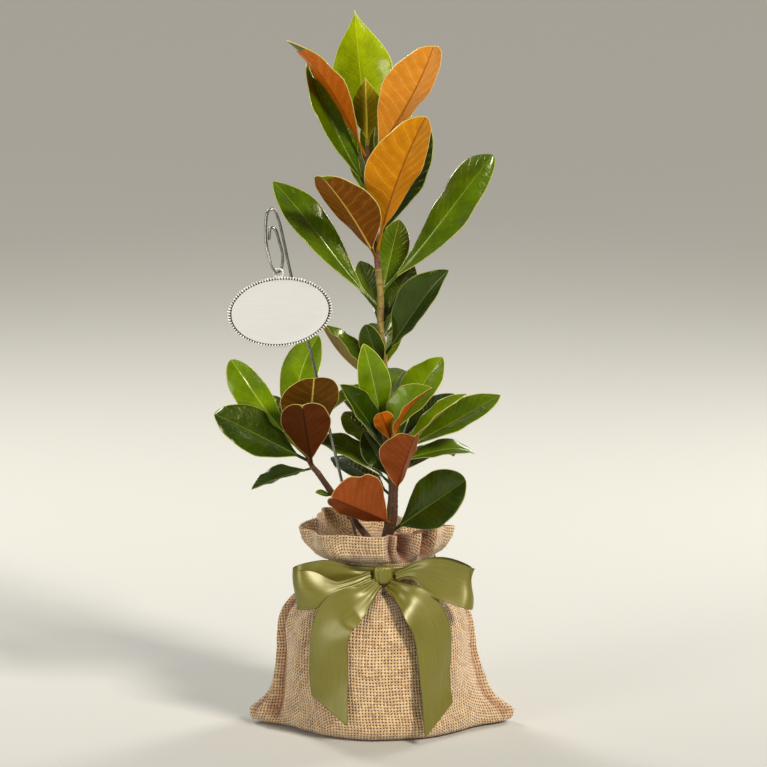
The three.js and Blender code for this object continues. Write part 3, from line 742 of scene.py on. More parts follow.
LEFT_LEAVES = [
    (1, (9, 40, 80), 30, (-2.5, -9, 1), "fresh", "umber",
     {"sway": -0.13, "fold": 14, "widest": 0.66, "point": 0.55}),
    (0.9, (6, -30, 62), 46, (-3, 8, 4), "green", "chestnut",
     {"fold": 12, "widest": 0.66, "point": 0.42}),
    (0.4, (-6, -39, 50), 39, (0, 8, 5), "green", "mahogany",
     {"fold": 20, "widest": 0.62, "point": 0.35, "heart": 0.06}),
    (0.8, (-56, 2, 72), 29, (1, -8, 5), "fresh", "copper",
     {"sway": -0.05, "hook": 0.06, "fold": -22, "widest": 0.66, "point": 0.45}),
    (0.6, (-69, -25, 40), 38, (2, -8, 6), "deep", "umber", {"hook": 0.01, "fold": 10, "point": 0.6}),
    (0.3, (-45, -22, -12), 26, (-1, -2, 9), "dusk", "umber",
     {"bend": 0.03, "fold": 20, "widest": 0.38}),
    (0.7, (-36, 52, 38), 32, (4, -5, 8), "green", "umber", {"hook": 0.06}),
    (0.5, (-8, 62, 16), 32, (0, -3, 9), "deep", "umber", {"hook": 0.08}),
]
RIGHT_LEAVES = [
    (0.06, (14, -32, 48), 42, (-4, 8, 4), "green", "rust",
     {"fold": 40, "widest": 0.5, "point": 0.4, "left": 0.8}),
    (0.6, (60, 26, 0), 20, (0, -5, 9), "green", "umber", {"hook": 0.1, "fold": 16}),
    (0.75, (80, 18, 39), 26, (-3, -7, 7), "green", "umber",
     {"sway": 0.04, "hook": 0.03, "fold": 16, "widest": 0.64}),
    (0.8, (46, 40, 34), 22, (-3, -6, 6), "dusk", "umber", {"hook": 0.04}),
    (0.65, (54, -14, 50), 20, (-8, -3, 6), "fresh", "tan", {"hook": 0.03, "fold": 30}),
    (1, (38, 32, 54), 32, (-4, -8, 5), "fresh", "umber", {"hook": 0.03, "fold": 16}),
    (0.8, (29, -13, 48), 34, (-7, -4.5, 5), "fresh", "copper", {"bend": 0.12, "fold": 46}),
    (0.7, (22, 62, 30), 32, (-2, -5, 8), "green", "umber", {"hook": 0.06}),
    (0.4, (44, 54, 2), 32, (-2, -2, 9), "deep", "umber", {"hook": 0.1}),
    (0.9, (-8, -14, 25), 17, (-1, 9, 3), "fresh", "copper", {"fold": 20, "point": 0.4}),
]
# The single leaves low on the boughs: node, foot, then as above.
LOW_LEAVES = [
    ("leaf_low_front", right_bough.at_height(154), (-44, -34, 26), 47, (-3, 8, 5), "green", "rust",
     {"fold": 30, "widest": 0.46, "point": 0.42, "left": 1.15, "right": 0.7, "heart": 0.04,
      "ripple": 1.2}),
    ("leaf_low_right", right_bough.at_height(147), (55, -39, 47), 42, (-2, -9, 5), "deep", "umber",
     {"fold": 8, "point": 0.5}),
    ("leaf_low_left", left_bough.at_height(176), (-14, -8, 4), 8, (0, -5, 8), "green", "tan",
     {"ripple": 0}),
]

trunk_foliage = Build()
for i, (height, *row, shape) in enumerate(TRUNK_LEAVES):
    leaf(trunk_foliage, i, trunk_route.at_height(height), *row, **shape)
for i, turn in enumerate(BACK_TURNS):
    angle = math.radians(turn)
    out = 62 + 12 * chance(i + 3)
    reach = (out * math.cos(angle), out * math.sin(angle), 12 + 14 * chance(i + 11))
    wide = 32 + 6 * chance(i + 5)
    foot = trunk_route.at_height(217 + 24 * i)
    leaf(trunk_foliage, 20 + i, foot, reach, wide, (0, -3, 9), "green", "umber", hook=0.07, fold=14)
trunk_names = [f"leaf_trunk_{i + 1:02d}" for i in range(len(TRUNK_LEAVES))]
trunk_names += [f"leaf_back_{i + 1}" for i in range(len(BACK_TURNS))]
finish_piece(trunk_foliage.done("trunk_foliage", leaf_materials), "leaf", *trunk_names)

BUD_LONG = 12
BUD_RINGS, BUD_SIDES = 17, 18


def bud(build, foot, along):
    """The leaf bud that ends a shoot: pointed, under ridged and furry scales."""
    side = along.orthogonal().normalized()
    other = along.cross(side)
    rings = []
    for i in range(BUD_RINGS):
        s = i / (BUD_RINGS - 1)
        radius = (1.7 + 0.7 * ramp_up(s, 0, 0.3)) * math.cos(math.pi / 2 * ramp_up(s, 0.15, 1)) ** 0.8
        ring = []
        for j in range(BUD_SIDES):
            angle = j / BUD_SIDES * 2 * math.pi
            ridge = 1 + 0.07 * math.cos(3 * angle + 5 * s)
            out = side * math.cos(angle) + other * math.sin(angle)
            ring.append(foot + along * (BUD_LONG * s) + out * (max(0.06, radius) * ridge))
        rings.append(ring)
    build.rings(
        rings,
        lambda i, j: (j / BUD_SIDES * 2 - 1, i / (BUD_RINGS - 1)),
        lambda i, j: skin_slot["tan" if i < 4 else "olive"],
    )
    for value in ("to_rib", "to_edge"):
        build.values[value] += [FAR_OFF] * (BUD_RINGS * BUD_SIDES)


SHOOTS = [
    ("foliage_top", top_shoot, TOP_LEAVES, 30),
    ("foliage_left", left_shoot, LEFT_LEAVES, 50),
    ("foliage_right", right_shoot, RIGHT_LEAVES, 70),
]
for node_name, shoot, rows, seed in SHOOTS:
    crown = Build()
    for i, (share_up, *row, shape) in enumerate(rows):
        leaf(crown, seed + i, shoot.at(share_up), *row, **shape)
    bud(crown, shoot.at(0.99), shoot.along(0.99))
    finish_piece(crown.done(f"{node_name}_leaves", leaf_materials), "leaf", node_name)

low_foliage = Build()
for i, (_, foot, *row, shape) in enumerate(LOW_LEAVES):
    leaf(low_foliage, 90 + i, foot, *row, **shape)
low_names = [row[0] for row in LOW_LEAVES]
finish_piece(low_foliage.done("low_foliage", leaf_materials), "leaf", *low_names)


# ---------- burlap ----------

WEAVE = 2.4  # from one thread to the next: coarse burlap of some 10 threads an inch


def burlap_cloth():
    """Burlap, a plain weave of coarse jute yarn. It is dead matt, golden tan, with dark holes
    between the threads and yarns that swell and thin along their length. Deep in its tucks an
    orange-brown shade is painted onto the cloth."""
    finish, tree, body = material(
        "plain_woven_jute", roughness=0.9, ior=1.4, sheen_weight=0.35, sheen_roughness=0.7
    )
    cut = node(tree, "ShaderNodeUVMap", uv_map="cut")
    here = node(tree, "ShaderNodeTexCoord", out="Object")
    # The threads are pulled a little out of line.
    drift = node(tree, "ShaderNodeTexNoise", {"Vector": cut, "Scale": 0.16, "Detail": 2.0}, "Color")
    pulled = node(
        tree, "ShaderNodeVectorMath", {0: drift, 1: (0.9, 0.9, 0.0), 2: cut}, operation="MULTIPLY_ADD"
    )
    run = node(tree, "ShaderNodeSeparateXYZ", {0: pulled}, None)
    whole = node(tree, "ShaderNodeVectorMath", {0: pulled}, operation="FLOOR")
    thread = node(tree, "ShaderNodeSeparateXYZ", {0: whole}, None)
    inside = node(tree, "ShaderNodeVectorMath", {0: pulled}, operation="FRACTION")
    inside = node(tree, "ShaderNodeVectorMath", {0: inside, 1: (0.5, 0.5, 0.0)}, operation="SUBTRACT")
    inside = node(tree, "ShaderNodeVectorMath", {0: inside}, operation="ABSOLUTE")
    off = node(tree, "ShaderNodeSeparateXYZ", {0: inside}, None)
    heights, slubs = [], []
    # The warp runs up the sack and the weft round it. Each goes over and under the other in turn.
    for own, other, swing in ((0, 1, 0.45), (1, 0, -0.45)):
        place_across = node(tree, "ShaderNodeMath", {0: thread[own], 1: 7.31}, operation="MULTIPLY")
        place_along = node(tree, "ShaderNodeMath", {0: run[other], 1: 0.22}, operation="MULTIPLY")
        seat = node(tree, "ShaderNodeCombineXYZ", {0: place_across, 1: place_along, 2: 20.0 * own})
        slub = node(tree, "ShaderNodeTexNoise", {"Vector": seat, "Scale": 1.0, "Detail": 3.0})
        slubs.append(slub)
        half_wide = node(
            tree,
            "ShaderNodeMapRange",
            {"Value": slub, "From Min": 0.3, "From Max": 0.7, "To Min": 0.35, "To Max": 0.45},
        )
        ratio = node(tree, "ShaderNodeMath", {0: off[own], 1: half_wide}, operation="DIVIDE")
        square = node(tree, "ShaderNodeMath", {0: ratio, 1: 2.0}, operation="POWER")
        crown = node(tree, "ShaderNodeMath", {0: 1.0, 1: square}, operation="SUBTRACT")
        turn = node(tree, "ShaderNodeMath", {0: run[other], 1: thread[own]}, operation="ADD")
        turn = node(
            tree, "ShaderNodeMath", {0: turn, 1: math.pi, 2: -math.pi / 2}, operation="MULTIPLY_ADD"
        )
        swung = node(tree, "ShaderNodeMath", {0: turn}, operation="COSINE")
        heights.append(
            node(tree, "ShaderNodeMath", {0: swung, 1: swing, 2: crown}, operation="MULTIPLY_ADD")
        )
    top = node(tree, "ShaderNodeMath", {0: heights[0], 1: heights[1]}, operation="MAXIMUM")
    raised = node(tree, "ShaderNodeMapRange", {"Value": top, "From Min": 0.05, "From Max": 1.35})
    fuzz = node(tree, "ShaderNodeTexNoise", {"Vector": here, "Scale": 1500.0, "Detail": 2.0})
    slub_sum = node(tree, "ShaderNodeMath", {0: slubs[0], 1: slubs[1]}, operation="ADD")
    tone = node(tree, "ShaderNodeMath", {0: slub_sum, 1: 0.5, 2: fuzz}, operation="MULTIPLY_ADD")
    yarn_stops = ((0.62, "#a27746"), (0.95, "#c69b69"), (1.28, "#e4c18e"))
    yarn = node(tree, "ShaderNodeValToRGB", {0: tone}, stops=yarn_stops)
    depth_stops = ((0.0, "#0a0502"), (0.24, "#35200f"), (0.56, "#ffffff"))
    depth = node(tree, "ShaderNodeValToRGB", {0: raised}, stops=depth_stops)
    tuck_shade_share = node(tree, "ShaderNodeAttribute", out="Fac", attribute_name="painted_tuck_shade")
    cloth = yarn
    # Deep in the tucks an orange brown is multiplied over the yarn as painted shade.
    for share, shadow in ((1.0, depth), (tuck_shade_share, linear("#b4683c"))):
        cloth = node(
            tree,
            "ShaderNodeMix",
            {0: share, 6: cloth, 7: shadow},
            2,
            data_type="RGBA",
            blend_type="MULTIPLY",
        )
    rough = node(tree, "ShaderNodeMath", {0: fuzz, 1: 0.25, 2: raised}, operation="MULTIPLY_ADD")
    surface(tree, body, cloth, rough, (0.8, 0.0011))
    return finish


# The sack's outside from its flat underside up to the rim, and its inside down to the soil. Each
# row is a height, the half width, the half depth, how far the corner ears stand out, how deep
# the gathers are and how far the row is set over to the left.
SACK_ROWS = [
    (0, 0, 0, 0, 0, 0), (0, 30, 26, 4, 0, 0), (0, 58, 50, 14, 0, 0), (3, 71, 61, 25, 0, 0),
    (11, 74, 66, 25, 0, 0), (27, 73, 67, 8, 0, 2), (58, 72, 66, 1, 0, 4), (84, 70, 63, 0, 0.5, 4),
    (100, 60, 54, 0, 2, 3), (111, 46, 43, 0, 1.5, 2), (117.5, NECK_WIDE, NECK_DEEP, 0, 0, 0),
    (128.5, NECK_WIDE, NECK_DEEP, 0, 0, 0), (133, 44, 42, 0, 2, 2), (142, 51, 49, 0, 4, 4),
    (150, 53, 53, 0, 6, 4), (151, 51.6, 51.6, 0, 6, 4), (149.4, 50.8, 50.8, 0, 6, 4),
    (142, 48.4, 46.4, 0, 4, 4), (133, 41, 39.4, 0, 2, 2), (126, 33, 32, 0, 0.5, 1),
    (119, 29.4, 28.6, 0, 0, 0), (SOIL_FLOOR, 29, 28, 0, 0, 0), (SOIL_FLOOR, 0, 0, 0, 0, 0),
]
LAST_ROW = len(SACK_ROWS) - 1
RIM_ROW = 14.5
GATHERS = 8
EAR_ANGLE = 0.24
SEAM_LEFT = math.pi + 0.16
SEAM_RIGHT = 2 * math.pi - 0.06
SEAM_FOOT, SEAM_HEAD = 12, 104  # the seams stand full out between these heights
STITCHES_OFF = 0.075  # how far round the stitches lie from a seam
HOLLOW_LEFT, HOLLOW_RIGHT = 0.42, 0.82  # how far round from the middle of the front
ROUND = 384  # points round the sack
RUNGS = 9  # rings from one row to the next
CLOTH_RADIUS = 66  # of the whole width of the cloth, bent to a circle


def row_between(k):
    """A row of the sack at a whole or broken place in the list, on a smooth curve."""
    i = min(LAST_ROW - 1, int(k))
    rows = [SACK_ROWS[min(LAST_ROW, max(0, i + n))] for n in (-1, 0, 1, 2)]
    found = []
    for p, q, r, s in zip(*rows):
        # A slope that would overshoot is laid level.
        start, end = ((slope if (r - q) * slope > 0 else 0) for slope in ((r - p) / 2, (s - q) / 2))
        found.append(cubic(q, r, start, end, k - i))
    return found


def seam_run(height):
    """How far the side seams have come up out of the cloth at a height, from 0 to 1."""
    return ramp_up(height, SEAM_FOOT - 8, SEAM_FOOT) * (1 - ramp_up(height, SEAM_HEAD, SEAM_HEAD + 12))


def panel_edge(height):
    """How far round from the middle of the front the two creases lie that run from the knot."""
    return mix(0.62, 0.3, ramp_up(height, 62, 112))


def body_drape(angle, height):
    """How far pleats, creases and drags move the cloth outwards below the neck."""
    front = turn_between(angle, FRONT)
    # Pleats run down from the tied neck and die out on the belly.
    tied = ramp_up(height, 60, 106) * (1 - 0.55 * ramp_up(height, 108, 117))
    pleat = 0.5 * math.cos(13 * angle + 0.6)
    pleat += 0.34 * math.cos(21 * angle + 2.1)
    pleat += 0.3 * math.cos(8 * angle + 4)
    move = 2.3 * tied * (pleat - 0.75)
    # The front panel stands out between two creases that run from the knot.
    belly = ramp_up(height, 20, 70) * (1 - ramp_up(height, 96, 112))
    move += 2.6 * belly * hump(front, 0.42)
    crease = ramp_up(height, 40, 84) * (1 - 0.6 * ramp_up(height, 104, 114))
    for side in (-1, 1):
        move -= 5.2 * crease * hump(front - side * panel_edge(height), 0.1)
    # Slanting drags pull toward the two bottom corners.
    drawn = ramp_up(height, 6, 24) * (1 - ramp_up(height, 88, 108))
    drag = math.sin(7 * abs(front) - height / 13) + 0.6 * math.sin(11 * abs(front) + height / 21 + 1)
    move += 1.1 * drawn * drag * ramp_up(abs(front), 0.5, 0.9)
    if height > 4:
        for seam, proud in ((SEAM_LEFT, 3.8), (SEAM_RIGHT, 2)):
            near = turn_between(angle, seam)
            move += seam_run(height) * proud * hump(near, 0.036)
            move -= seam_run(height) * proud * 0.9 * hump(abs(near) - 0.09, 0.04)
    return move


def collar_drape(angle, height):
    """How far the lobe, the ruffles and the hollows move the cloth outwards above the neck."""
    front = turn_between(angle, FRONT)
    opened = ramp_up(height, 128, 141)
    # A broad smooth lobe takes the front and its left, and hangs over the ribbon. Ruffles fill
    # the rest of the rim.
    lobe = ramp_up(front, -1.75, -1.2) * (1 - ramp_up(front, 0.05, 0.2))
    ruffle = 1.5 * math.cos(13 * angle + 2.2) + 1.1 * math.cos(19 * angle + 0.4)
    move = opened * mix(ruffle, 1.2 + math.cos(3 * front + 1.4), lobe)
    move += hump((height - 135) / 6, 1) * (1.5 + 4 * lobe * (1 - ramp_up(front, -0.6, -0.1)))
    move += hump((height - 130.5) / 3, 1) * 4.5 * lobe * (1 - ramp_up(front, -1, -0.7))
    # A crease ends the lobe, and two deep hollows between ridges stand side by side at the front
    # right. Each is where it lies, how far it moves the cloth and its spread.
    folds = (
        (0.19, -5, 0.05), (0.28, 3, 0.05), (0.6, 6, 0.07), (1.1, 4, 0.14), (HOLLOW_LEFT, -17, 0.1),
        (HOLLOW_RIGHT, -17, 0.1),
    )
    for where, proud, spread in folds:
        move += proud * opened * hump(front - where, spread)
    return move


def painted_tuck_shade(k, j):
    """How much painted shade the cloth takes here, deep in a tuck, beside a seam or in a crease by the
    front panel, from 0 to 1.
    """
    height, angle = row_between(k)[0], sack_angle(j)
    front = turn_between(angle, FRONT)
    if height > NECK:
        deep = hump(front - HOLLOW_LEFT, 0.11) + 0.9 * hump(front - HOLLOW_RIGHT, 0.12)
        deep += 0.8 * hump(front - 0.2, 0.05)
        return min(1, deep * ramp_up(height, 126, 136))
    sewn = seam_run(height)
    deep = 0.8 * hump(abs(turn_between(angle, SEAM_LEFT)) - 0.08, 0.04)
    deep += 0.5 * hump(abs(turn_between(angle, SEAM_RIGHT)) - 0.08, 0.04)
    # Under the knot the cloth is drawn in at both sides of the front panel, and shade is painted into
    # those creases.
    drawn = 0.7 * ramp_up(height, 84, 112) / max(0.2, sewn)
    deep += drawn * hump(abs(front) - panel_edge(height), 0.09)
    return min(1, deep * sewn)


def sack_angle(j):
    """Rings start at the back, so that the front is halfway round."""
    return FRONT - math.pi + j / ROUND * 2 * math.pi


def sack_point(k, j):
    height, wide, deep, ear, gather, over = row_between(k)
    angle = sack_angle(j)
    front = turn_between(angle, FRONT)
    outside = k <= RIM_ROW
    off_side = min(abs(math.sin(angle / 2)), abs(math.cos(angle / 2))) * 2
    ear *= hump(off_side, EAR_ANGLE)
    fold = gather * math.cos(GATHERS * angle)
    if height > NECK:
        fold *= 1 - 0.9 * hump(front + 0.1, 1.3)
    rise = 0
    if height > NECK + 15:
        # The rim stands level across the front and climbs at the back and to the right.
        rise = gather * 0.7 * mix(math.sin(2 * angle + 3.25), 0.55, hump(front + 0.3, 0.8))
        rise -= gather * 0.5 * (hump(front - HOLLOW_LEFT, 0.1) + hump(front - 0.8, 0.1))
    size = min(1, wide / 30)
    drape = 0
    if outside and height < NECK_FOOT:
        drape = body_drape(angle, height)
    elif height > NECK + 1:
        drape = collar_drape(angle, height)
    move = (drape * size + fold) * size
    spot = Vector(
        (
            (wide + ear + move) * math.cos(angle) - over,
            (deep + move) * math.sin(angle),
            height + rise,
        )
    )
    # Small dents all over, from handling.
    dents = noise.noise(spot / 26) * 1.5 + noise.noise(spot / 10 + Vector((7, 3, 1))) * 0.5
    calm = 1 - hump((height - NECK) / 9, 1) if outside else 0.3
    lift = 0.35 if height < 1 else 1
    out = Vector((math.cos(angle), math.sin(angle), 0))
    return spot + out * (dents * calm * size * lift)


sack_places = [1.0 + i / RUNGS for i in range(int((LAST_ROW - 1.001) * RUNGS) + 1)]
sack_rings = [[sack_point(k, j) for j in range(ROUND)] for k in sack_places]
climb = [0.0]
for low, high in zip(sack_rings, sack_rings[1:]):
    steps = [(b - a).length for a, b in zip(low[::16], high[::16])]
    climb.append(climb[-1] + sum(steps) / len(steps))


def sack_run(ring):
    """How far along a ring each place is from the middle of the front, as the flat cloth has it:
    the cloth's whole width goes round where it is gathered."""
    run = [0.0]
    for a, b in zip(ring, ring[1:] + ring[:1]):
        run.append(run[-1] + (b - a).length)
    share = max(1, 2 * math.pi * CLOTH_RADIUS / max(1, run[-1]))
    return [(far - run[ROUND // 2]) * share for far in run]


sack_runs = [sack_run(ring) for ring in sack_rings]


def sack_uv(i, j):
    """Threads counted round the sack and up it. The rows sink from the middle of the front and
    of the back to the two corners, where the cloth is pulled down."""
    turned = abs(turn_between(sack_angle(j), FRONT))
    skew = 20 * ramp_up(math.sin(turned), 0.45, 1.15)
    return (sack_runs[i][j] / WEAVE, climb[i] / WEAVE + skew)


sack = Build()
sack.rings(sack_rings, sack_uv)
sack.values["painted_tuck_shade"] = [painted_tuck_shade(k, j) for k in sack_places for j in range(ROUND)]
finish_piece(sack.done("burlap_bag", [burlap_cloth()]), "burlap", "burlap_sack")


# ---------- stray fibres and seams ----------

# Loose jute is matt, dry and stiff, and paler at its fuzzy edges.
JUTE = {"scale": 350.0, "detail": 2.0, "roughness": 0.85, "ior": 1.4, "sheen_weight": 0.3}
loose_jute = speckled("loose_jute_fibre", stops=((0.35, "#b98f5c"), (0.65, "#e8cfa4")), **JUTE)
twine = speckled("seam_twine", stops=((0.35, "#a9793f"), (0.65, "#dab57c")), **JUTE)


def fibre_rule():
    """Single fibres stand out of the cloth all over, 2 to 6 mm long."""
    tree, size = rule("stray_fibres", spread=11000.0, thick=0.1, seed=11)
    roots = node(
        tree,
        "GeometryNodeDistributePointsOnFaces",
        {"Mesh": size["Geometry"], "Density": size["Spread"], "Seed": size["Seed"]},
        None,
    )
    bow = {
        "Resolution": 3,
        "Start": (0.0, 0.0, -0.4 * MM),
        "Middle": (1.4 * MM, 0.2 * MM, 1.6 * MM),
        "End": (3.6 * MM, 0.9 * MM, 0.9 * MM),
    }
    arc = node(tree, "GeometryNodeCurveQuadraticBezier", bow)
    thin = node(tree, "ShaderNodeMath", {0: size["Thick"], 1: MM}, operation="MULTIPLY")
    section = node(tree, "GeometryNodeCurvePrimitiveCircle", {"Resolution": 3, "Radius": thin})
    hair = node(
        tree, "GeometryNodeCurveToMesh", {"Curve": arc, "Profile Curve": section, "Fill Caps": True}
    )
    lean = node(
        tree,
        "FunctionNodeRandomValue",
        {0: (-0.5, -0.4, 0.0), 1: (0.5, 0.7, 6.28), "Seed": 13},
        data_type="FLOAT_VECTOR",
    )
    leaned = node(
        tree,
        "FunctionNodeRotateRotation",
        {"Rotation": roots["Rotation"], "Rotate By": lean},
        rotation_space="LOCAL",
    )
    reach = node(
        tree,
        "FunctionNodeRandomValue",
        {0: (0.6, 0.6, 0.5), 1: (1.5, 1.2, 1.5), "Seed": 17},
        data_type="FLOAT_VECTOR",
    )
    fuzz = node(
        tree,
        "GeometryNodeInstanceOnPoints",
        {"Points": roots["Points"], "Instance": hair, "Rotation": leaned, "Scale": reach},
    )
    return close_rule(tree, fuzz, loose_jute)


def string_along(tree, curve, size, finish):
    """Sets beads of a rule's count, length and width along a curve and closes the rule."""
    spaced = node(tree, "GeometryNodeResampleCurve", {"Curve": curve, "Count": size["Count"]})
    heading = node(tree, "GeometryNodeInputTangent")
    turned = node(tree, "FunctionNodeAlignRotationToVector", {"Vector": heading}, axis="X")
    bead = node(tree, "GeometryNodeMeshIcoSphere", {"Radius": MM / 2, "Subdivisions": 2})
    shape = node(tree, "ShaderNodeCombineXYZ", {0: size["Long"], 1: size["Thick"], 2: size["Thick"]})
    strung = node(
        tree,
        "GeometryNodeInstanceOnPoints",
        {"Points": spaced, "Instance": bead, "Rotation": turned, "Scale": shape},
    )
    return close_rule(tree, strung, finish)


def stitch_rule():
    """The side seams are sewn beside their hems with 3 mm stitches of twine."""
    tree, size = rule("seam_stitches", count=24, long=3.2, thick=0.75)
    sewn = node(tree, "GeometryNodeMeshToCurve", {"Mesh": size["Geometry"]})
    return string_along(tree, sewn, size, twine)


# The fibres grow on a coarse copy of the outside, from just over the floor to the rim.
outer_rings = [sack_rings[i][::4] for i, k in enumerate(sack_places) if 3.7 < k < 15]
skin = Build()
skin.rings(outer_rings[::3], lambda i, j: (i, j), closed=False)
skin_object = skin.done("cloth_skin", [])
fibre_ground = skin_object.data
bpy.data.objects.remove(skin_object)
finish_piece(grow("stray_fibres", fibre_ground, fibre_rule()), "burlap")

stitch_tree = stitch_rule()
seam_rings = [
    ring for ring, k in zip(sack_rings, sack_places) if SEAM_FOOT < row_between(k)[0] < SEAM_HEAD
]
for label, seam in (("left", SEAM_LEFT + STITCHES_OFF), ("right", SEAM_RIGHT - STITCHES_OFF)):
    j = round((seam - FRONT + math.pi) / (2 * math.pi) * ROUND) % ROUND
    line = line_mesh(f"seam_{label}", [ring[j] for ring in seam_rings])
    finish_piece(grow(f"seam_stitches_{label}", line, stitch_tree), "burlap")


# ---------- soil ----------

# Damp peat and bark mix: nearly black brown, matt, in loose crumbs.
soil_mix = speckled(
    "damp_potting_mix",
    scale=500.0,
    detail=5.0,
    stops=((0.35, "#1c120a"), (0.55, "#3b2817"), (0.72, "#6b4c2c")),
    relief=(0.9, 0.001),
    roughness=0.92,
    ior=1.35,
)
SOIL_SIDES = 48
SOIL_RINGS = [(27.2, SOIL_FLOOR + 0.3), (27.2, SOIL_TOP - 1.6), (25, SOIL_TOP - 0.6)]
SOIL_RINGS += [(r, SOIL_TOP) for r in (22, 18, 14, 10, 6, 2)]
bed_rings = [oval(SOIL_SIDES, radius, radius, height) for radius, height in SOIL_RINGS]
for spot in sum(bed_rings, []):
    if spot.z > SOIL_TOP - 1:
        spot.z += noise.noise(spot / 5) * 0.7 - 0.5
bed = Build()
bed.rings(bed_rings, lambda i, j: (j / SOIL_SIDES, i / len(SOIL_RINGS)))
soil_bed = bed.done("soil_bed", [soil_mix])


def crumb_rule():
    """Strews crumbs over the soil, each squashed and rolled in its own way."""
    tree, size = rule("soil_crumbs", crumb=1.0, spread=900000.0, seed=7)
    spots = node(
        tree,
        "GeometryNodeDistributePointsOnFaces",
        {"Mesh": size["Geometry"], "Density": size["Spread"], "Seed": size["Seed"]},
    )
    pebble = node(tree, "GeometryNodeMeshIcoSphere", {"Radius": MM, "Subdivisions": 1})
    squashed = node(
        tree,
        "FunctionNodeRandomValue",
        {0: (0.35, 0.35, 0.25), 1: (1.3, 1.0, 0.8), "Seed": 3},
        data_type="FLOAT_VECTOR",
    )
    scaled = node(tree, "ShaderNodeVectorMath", {0: squashed, "Scale": size["Crumb"]}, operation="SCALE")
    rolled = node(
        tree,
        "FunctionNodeRandomValue",
        {0: (0.0, 0.0, 0.0), 1: (6.28, 6.28, 6.28), "Seed": 5},
        data_type="FLOAT_VECTOR",
    )
    strewn = node(
        tree,
        "GeometryNodeInstanceOnPoints",
        {"Points": spots, "Instance": pebble, "Rotation": rolled, "Scale": scaled},
    )
    return close_rule(tree, strewn, soil_mix)


top_disc = bpy.data.meshes.new("soil_top")
top_rim = [spot * MM for spot in oval(SOIL_SIDES, 25, 25, SOIL_TOP - 0.4)]
top_disc.from_pydata(top_rim, [], [list(range(SOIL_SIDES))])
crumbs = grow("soil_crumbs", top_disc, crumb_rule())
finish_piece(soil_bed, "soil", "potting_soil")
finish_piece(crumbs, "soil")


# ---------- metal ----------

# Nickel-silver sheet, brushed along its length, which spreads its highlights into a soft band.
plate_metal = speckled(
    "brushed_nickel_sheet",
    scale=1.0,
    detail=3.0,
    stops=((0.3, "#d9dad7"), (0.7, "#dfe0dd")),
    relief=(0.05, 0.0001),
    stretch=(60.0, 60.0, 2600.0),
    metallic=0.3,
    roughness=0.4,
    anisotropic=0.3,
)


def mottled_metal(name, bright, stained, metallic, roughness):
    """Cast or drawn and polished metal: bright, mottled at random with a stained tone."""
    stops = ((0.3, stained), (0.6, bright))
    return speckled(name, 300.0, 4.0, stops, metallic=metallic, roughness=roughness)


rim_metal = mottled_metal("cast_nickel_beads", "#f4f2ec", "#d6d3ca", 0.45, 0.3)
# The groove under the beads is near-black metal, painted shade that shows dark between the beads.
groove_shade_metal = mottled_metal("groove_painted_dark", "#3a3832", "#1e1c18", 0.3, 0.6)
wire_metal = mottled_metal("drawn_steel_wire", "#9c9b95", "#7c7b75", 1.0, 0.25)


# ---------- the plaque ----------

PLAQUE_WIDE, PLAQUE_TALL, PLAQUE_THICK = 77, 52, 1.6
PLAQUE_AT = Vector((-74.5, -27.5, 316))
PLATE_SIDES = 144
PLATE_INSET = 0.9  # from the beads' outer edge to the plate's
BEADS_UP = 1.5  # from the plate's back to the middle of the beads
LUG_AT = Vector((2, PLAQUE_TALL / 2 + 2.4, 0.8))
LUG_RADIUS = 3.3
LUG_STEPS, LUG_SIDES = 32, 12
hang = (
    Matrix.Translation(PLAQUE_AT * MM)
    @ Matrix.Rotation(math.pi / 2, 4, "X")
    @ Matrix.Rotation(math.radians(6), 4, "Z")
)

# The plate is worked as rings from its back to its front. The beads lie in a groove round the
# edge, painted near-black as shade between them, and the face is dished a little inside them.
PLATE_PROFILE = [
    (0.0, 0.0), (0.6, 0.0), (0.97, 0.0), (1.0, 0.25), (1.005, 0.9), (0.995, 1.0), (0.98, 0.7),
    (0.962, 0.7), (0.948, 1.2), (0.935, 1.3), (0.91, 1.05), (0.7, 1.0), (0.4, 0.97), (0.0, 0.95),
]
GROOVE = range(2, 8)
plate_rings = []
for spread, front in PLATE_PROFILE:
    share = max(0.01, spread)
    half_wide, half_tall = (share * (size / 2 - PLATE_INSET) for size in (PLAQUE_WIDE, PLAQUE_TALL))
    plate_rings.append(oval(PLATE_SIDES, half_wide, half_tall, front))
plate = Build()
last_ring = len(PLATE_PROFILE) - 1
plate.rings(plate_rings, lambda i, j: (j / PLATE_SIDES, i / last_ring), lambda i, j: int(i in GROOVE))
lug_rings = []
lug_turns = [k / LUG_SIDES * 2 * math.pi for k in range(LUG_SIDES)]
lug_section = [(0.75 * math.cos(turn), 0.8 * math.sin(turn)) for turn in lug_turns]
for j in range(LUG_STEPS + 1):
    round_lug = j / LUG_STEPS * 2 * math.pi
    away = Vector((math.cos(round_lug), math.sin(round_lug), 0))
    lug_rings.append([LUG_AT + away * (LUG_RADIUS + x) + Vector((0, 0, z)) for x, z in lug_section])
plate.rings(lug_rings, lambda i, j: (j / LUG_SIDES, i / LUG_STEPS), closed=False)
plate_piece = plate.done("plaque_plate", [plate_metal, groove_shade_metal])
plate_piece.data.transform(hang)


def bead_rule():
    """A ring of long beads round an ellipse, by its half width and half height."""
    tree, size = rule(
        "beaded_rim",
        half_wide=PLAQUE_WIDE / 2 - 1,
        half_tall=PLAQUE_TALL / 2 - 1,
        count=96,
        thick=2.5,
        long=1.45,
    )
    ellipse = node(tree, "GeometryNodeCurvePrimitiveCircle", {"Resolution": 360, "Radius": 1.0})
    spread = node(tree, "ShaderNodeCombineXYZ", {0: size["Half Wide"], 1: size["Half Tall"], 2: 1.0})
    small = node(tree, "ShaderNodeVectorMath", {0: spread, 1: (MM, MM, 1.0)}, operation="MULTIPLY")
    rim = node(tree, "GeometryNodeTransform", {"Geometry": ellipse, "Scale": small})
    return string_along(tree, rim, size, rim_metal)


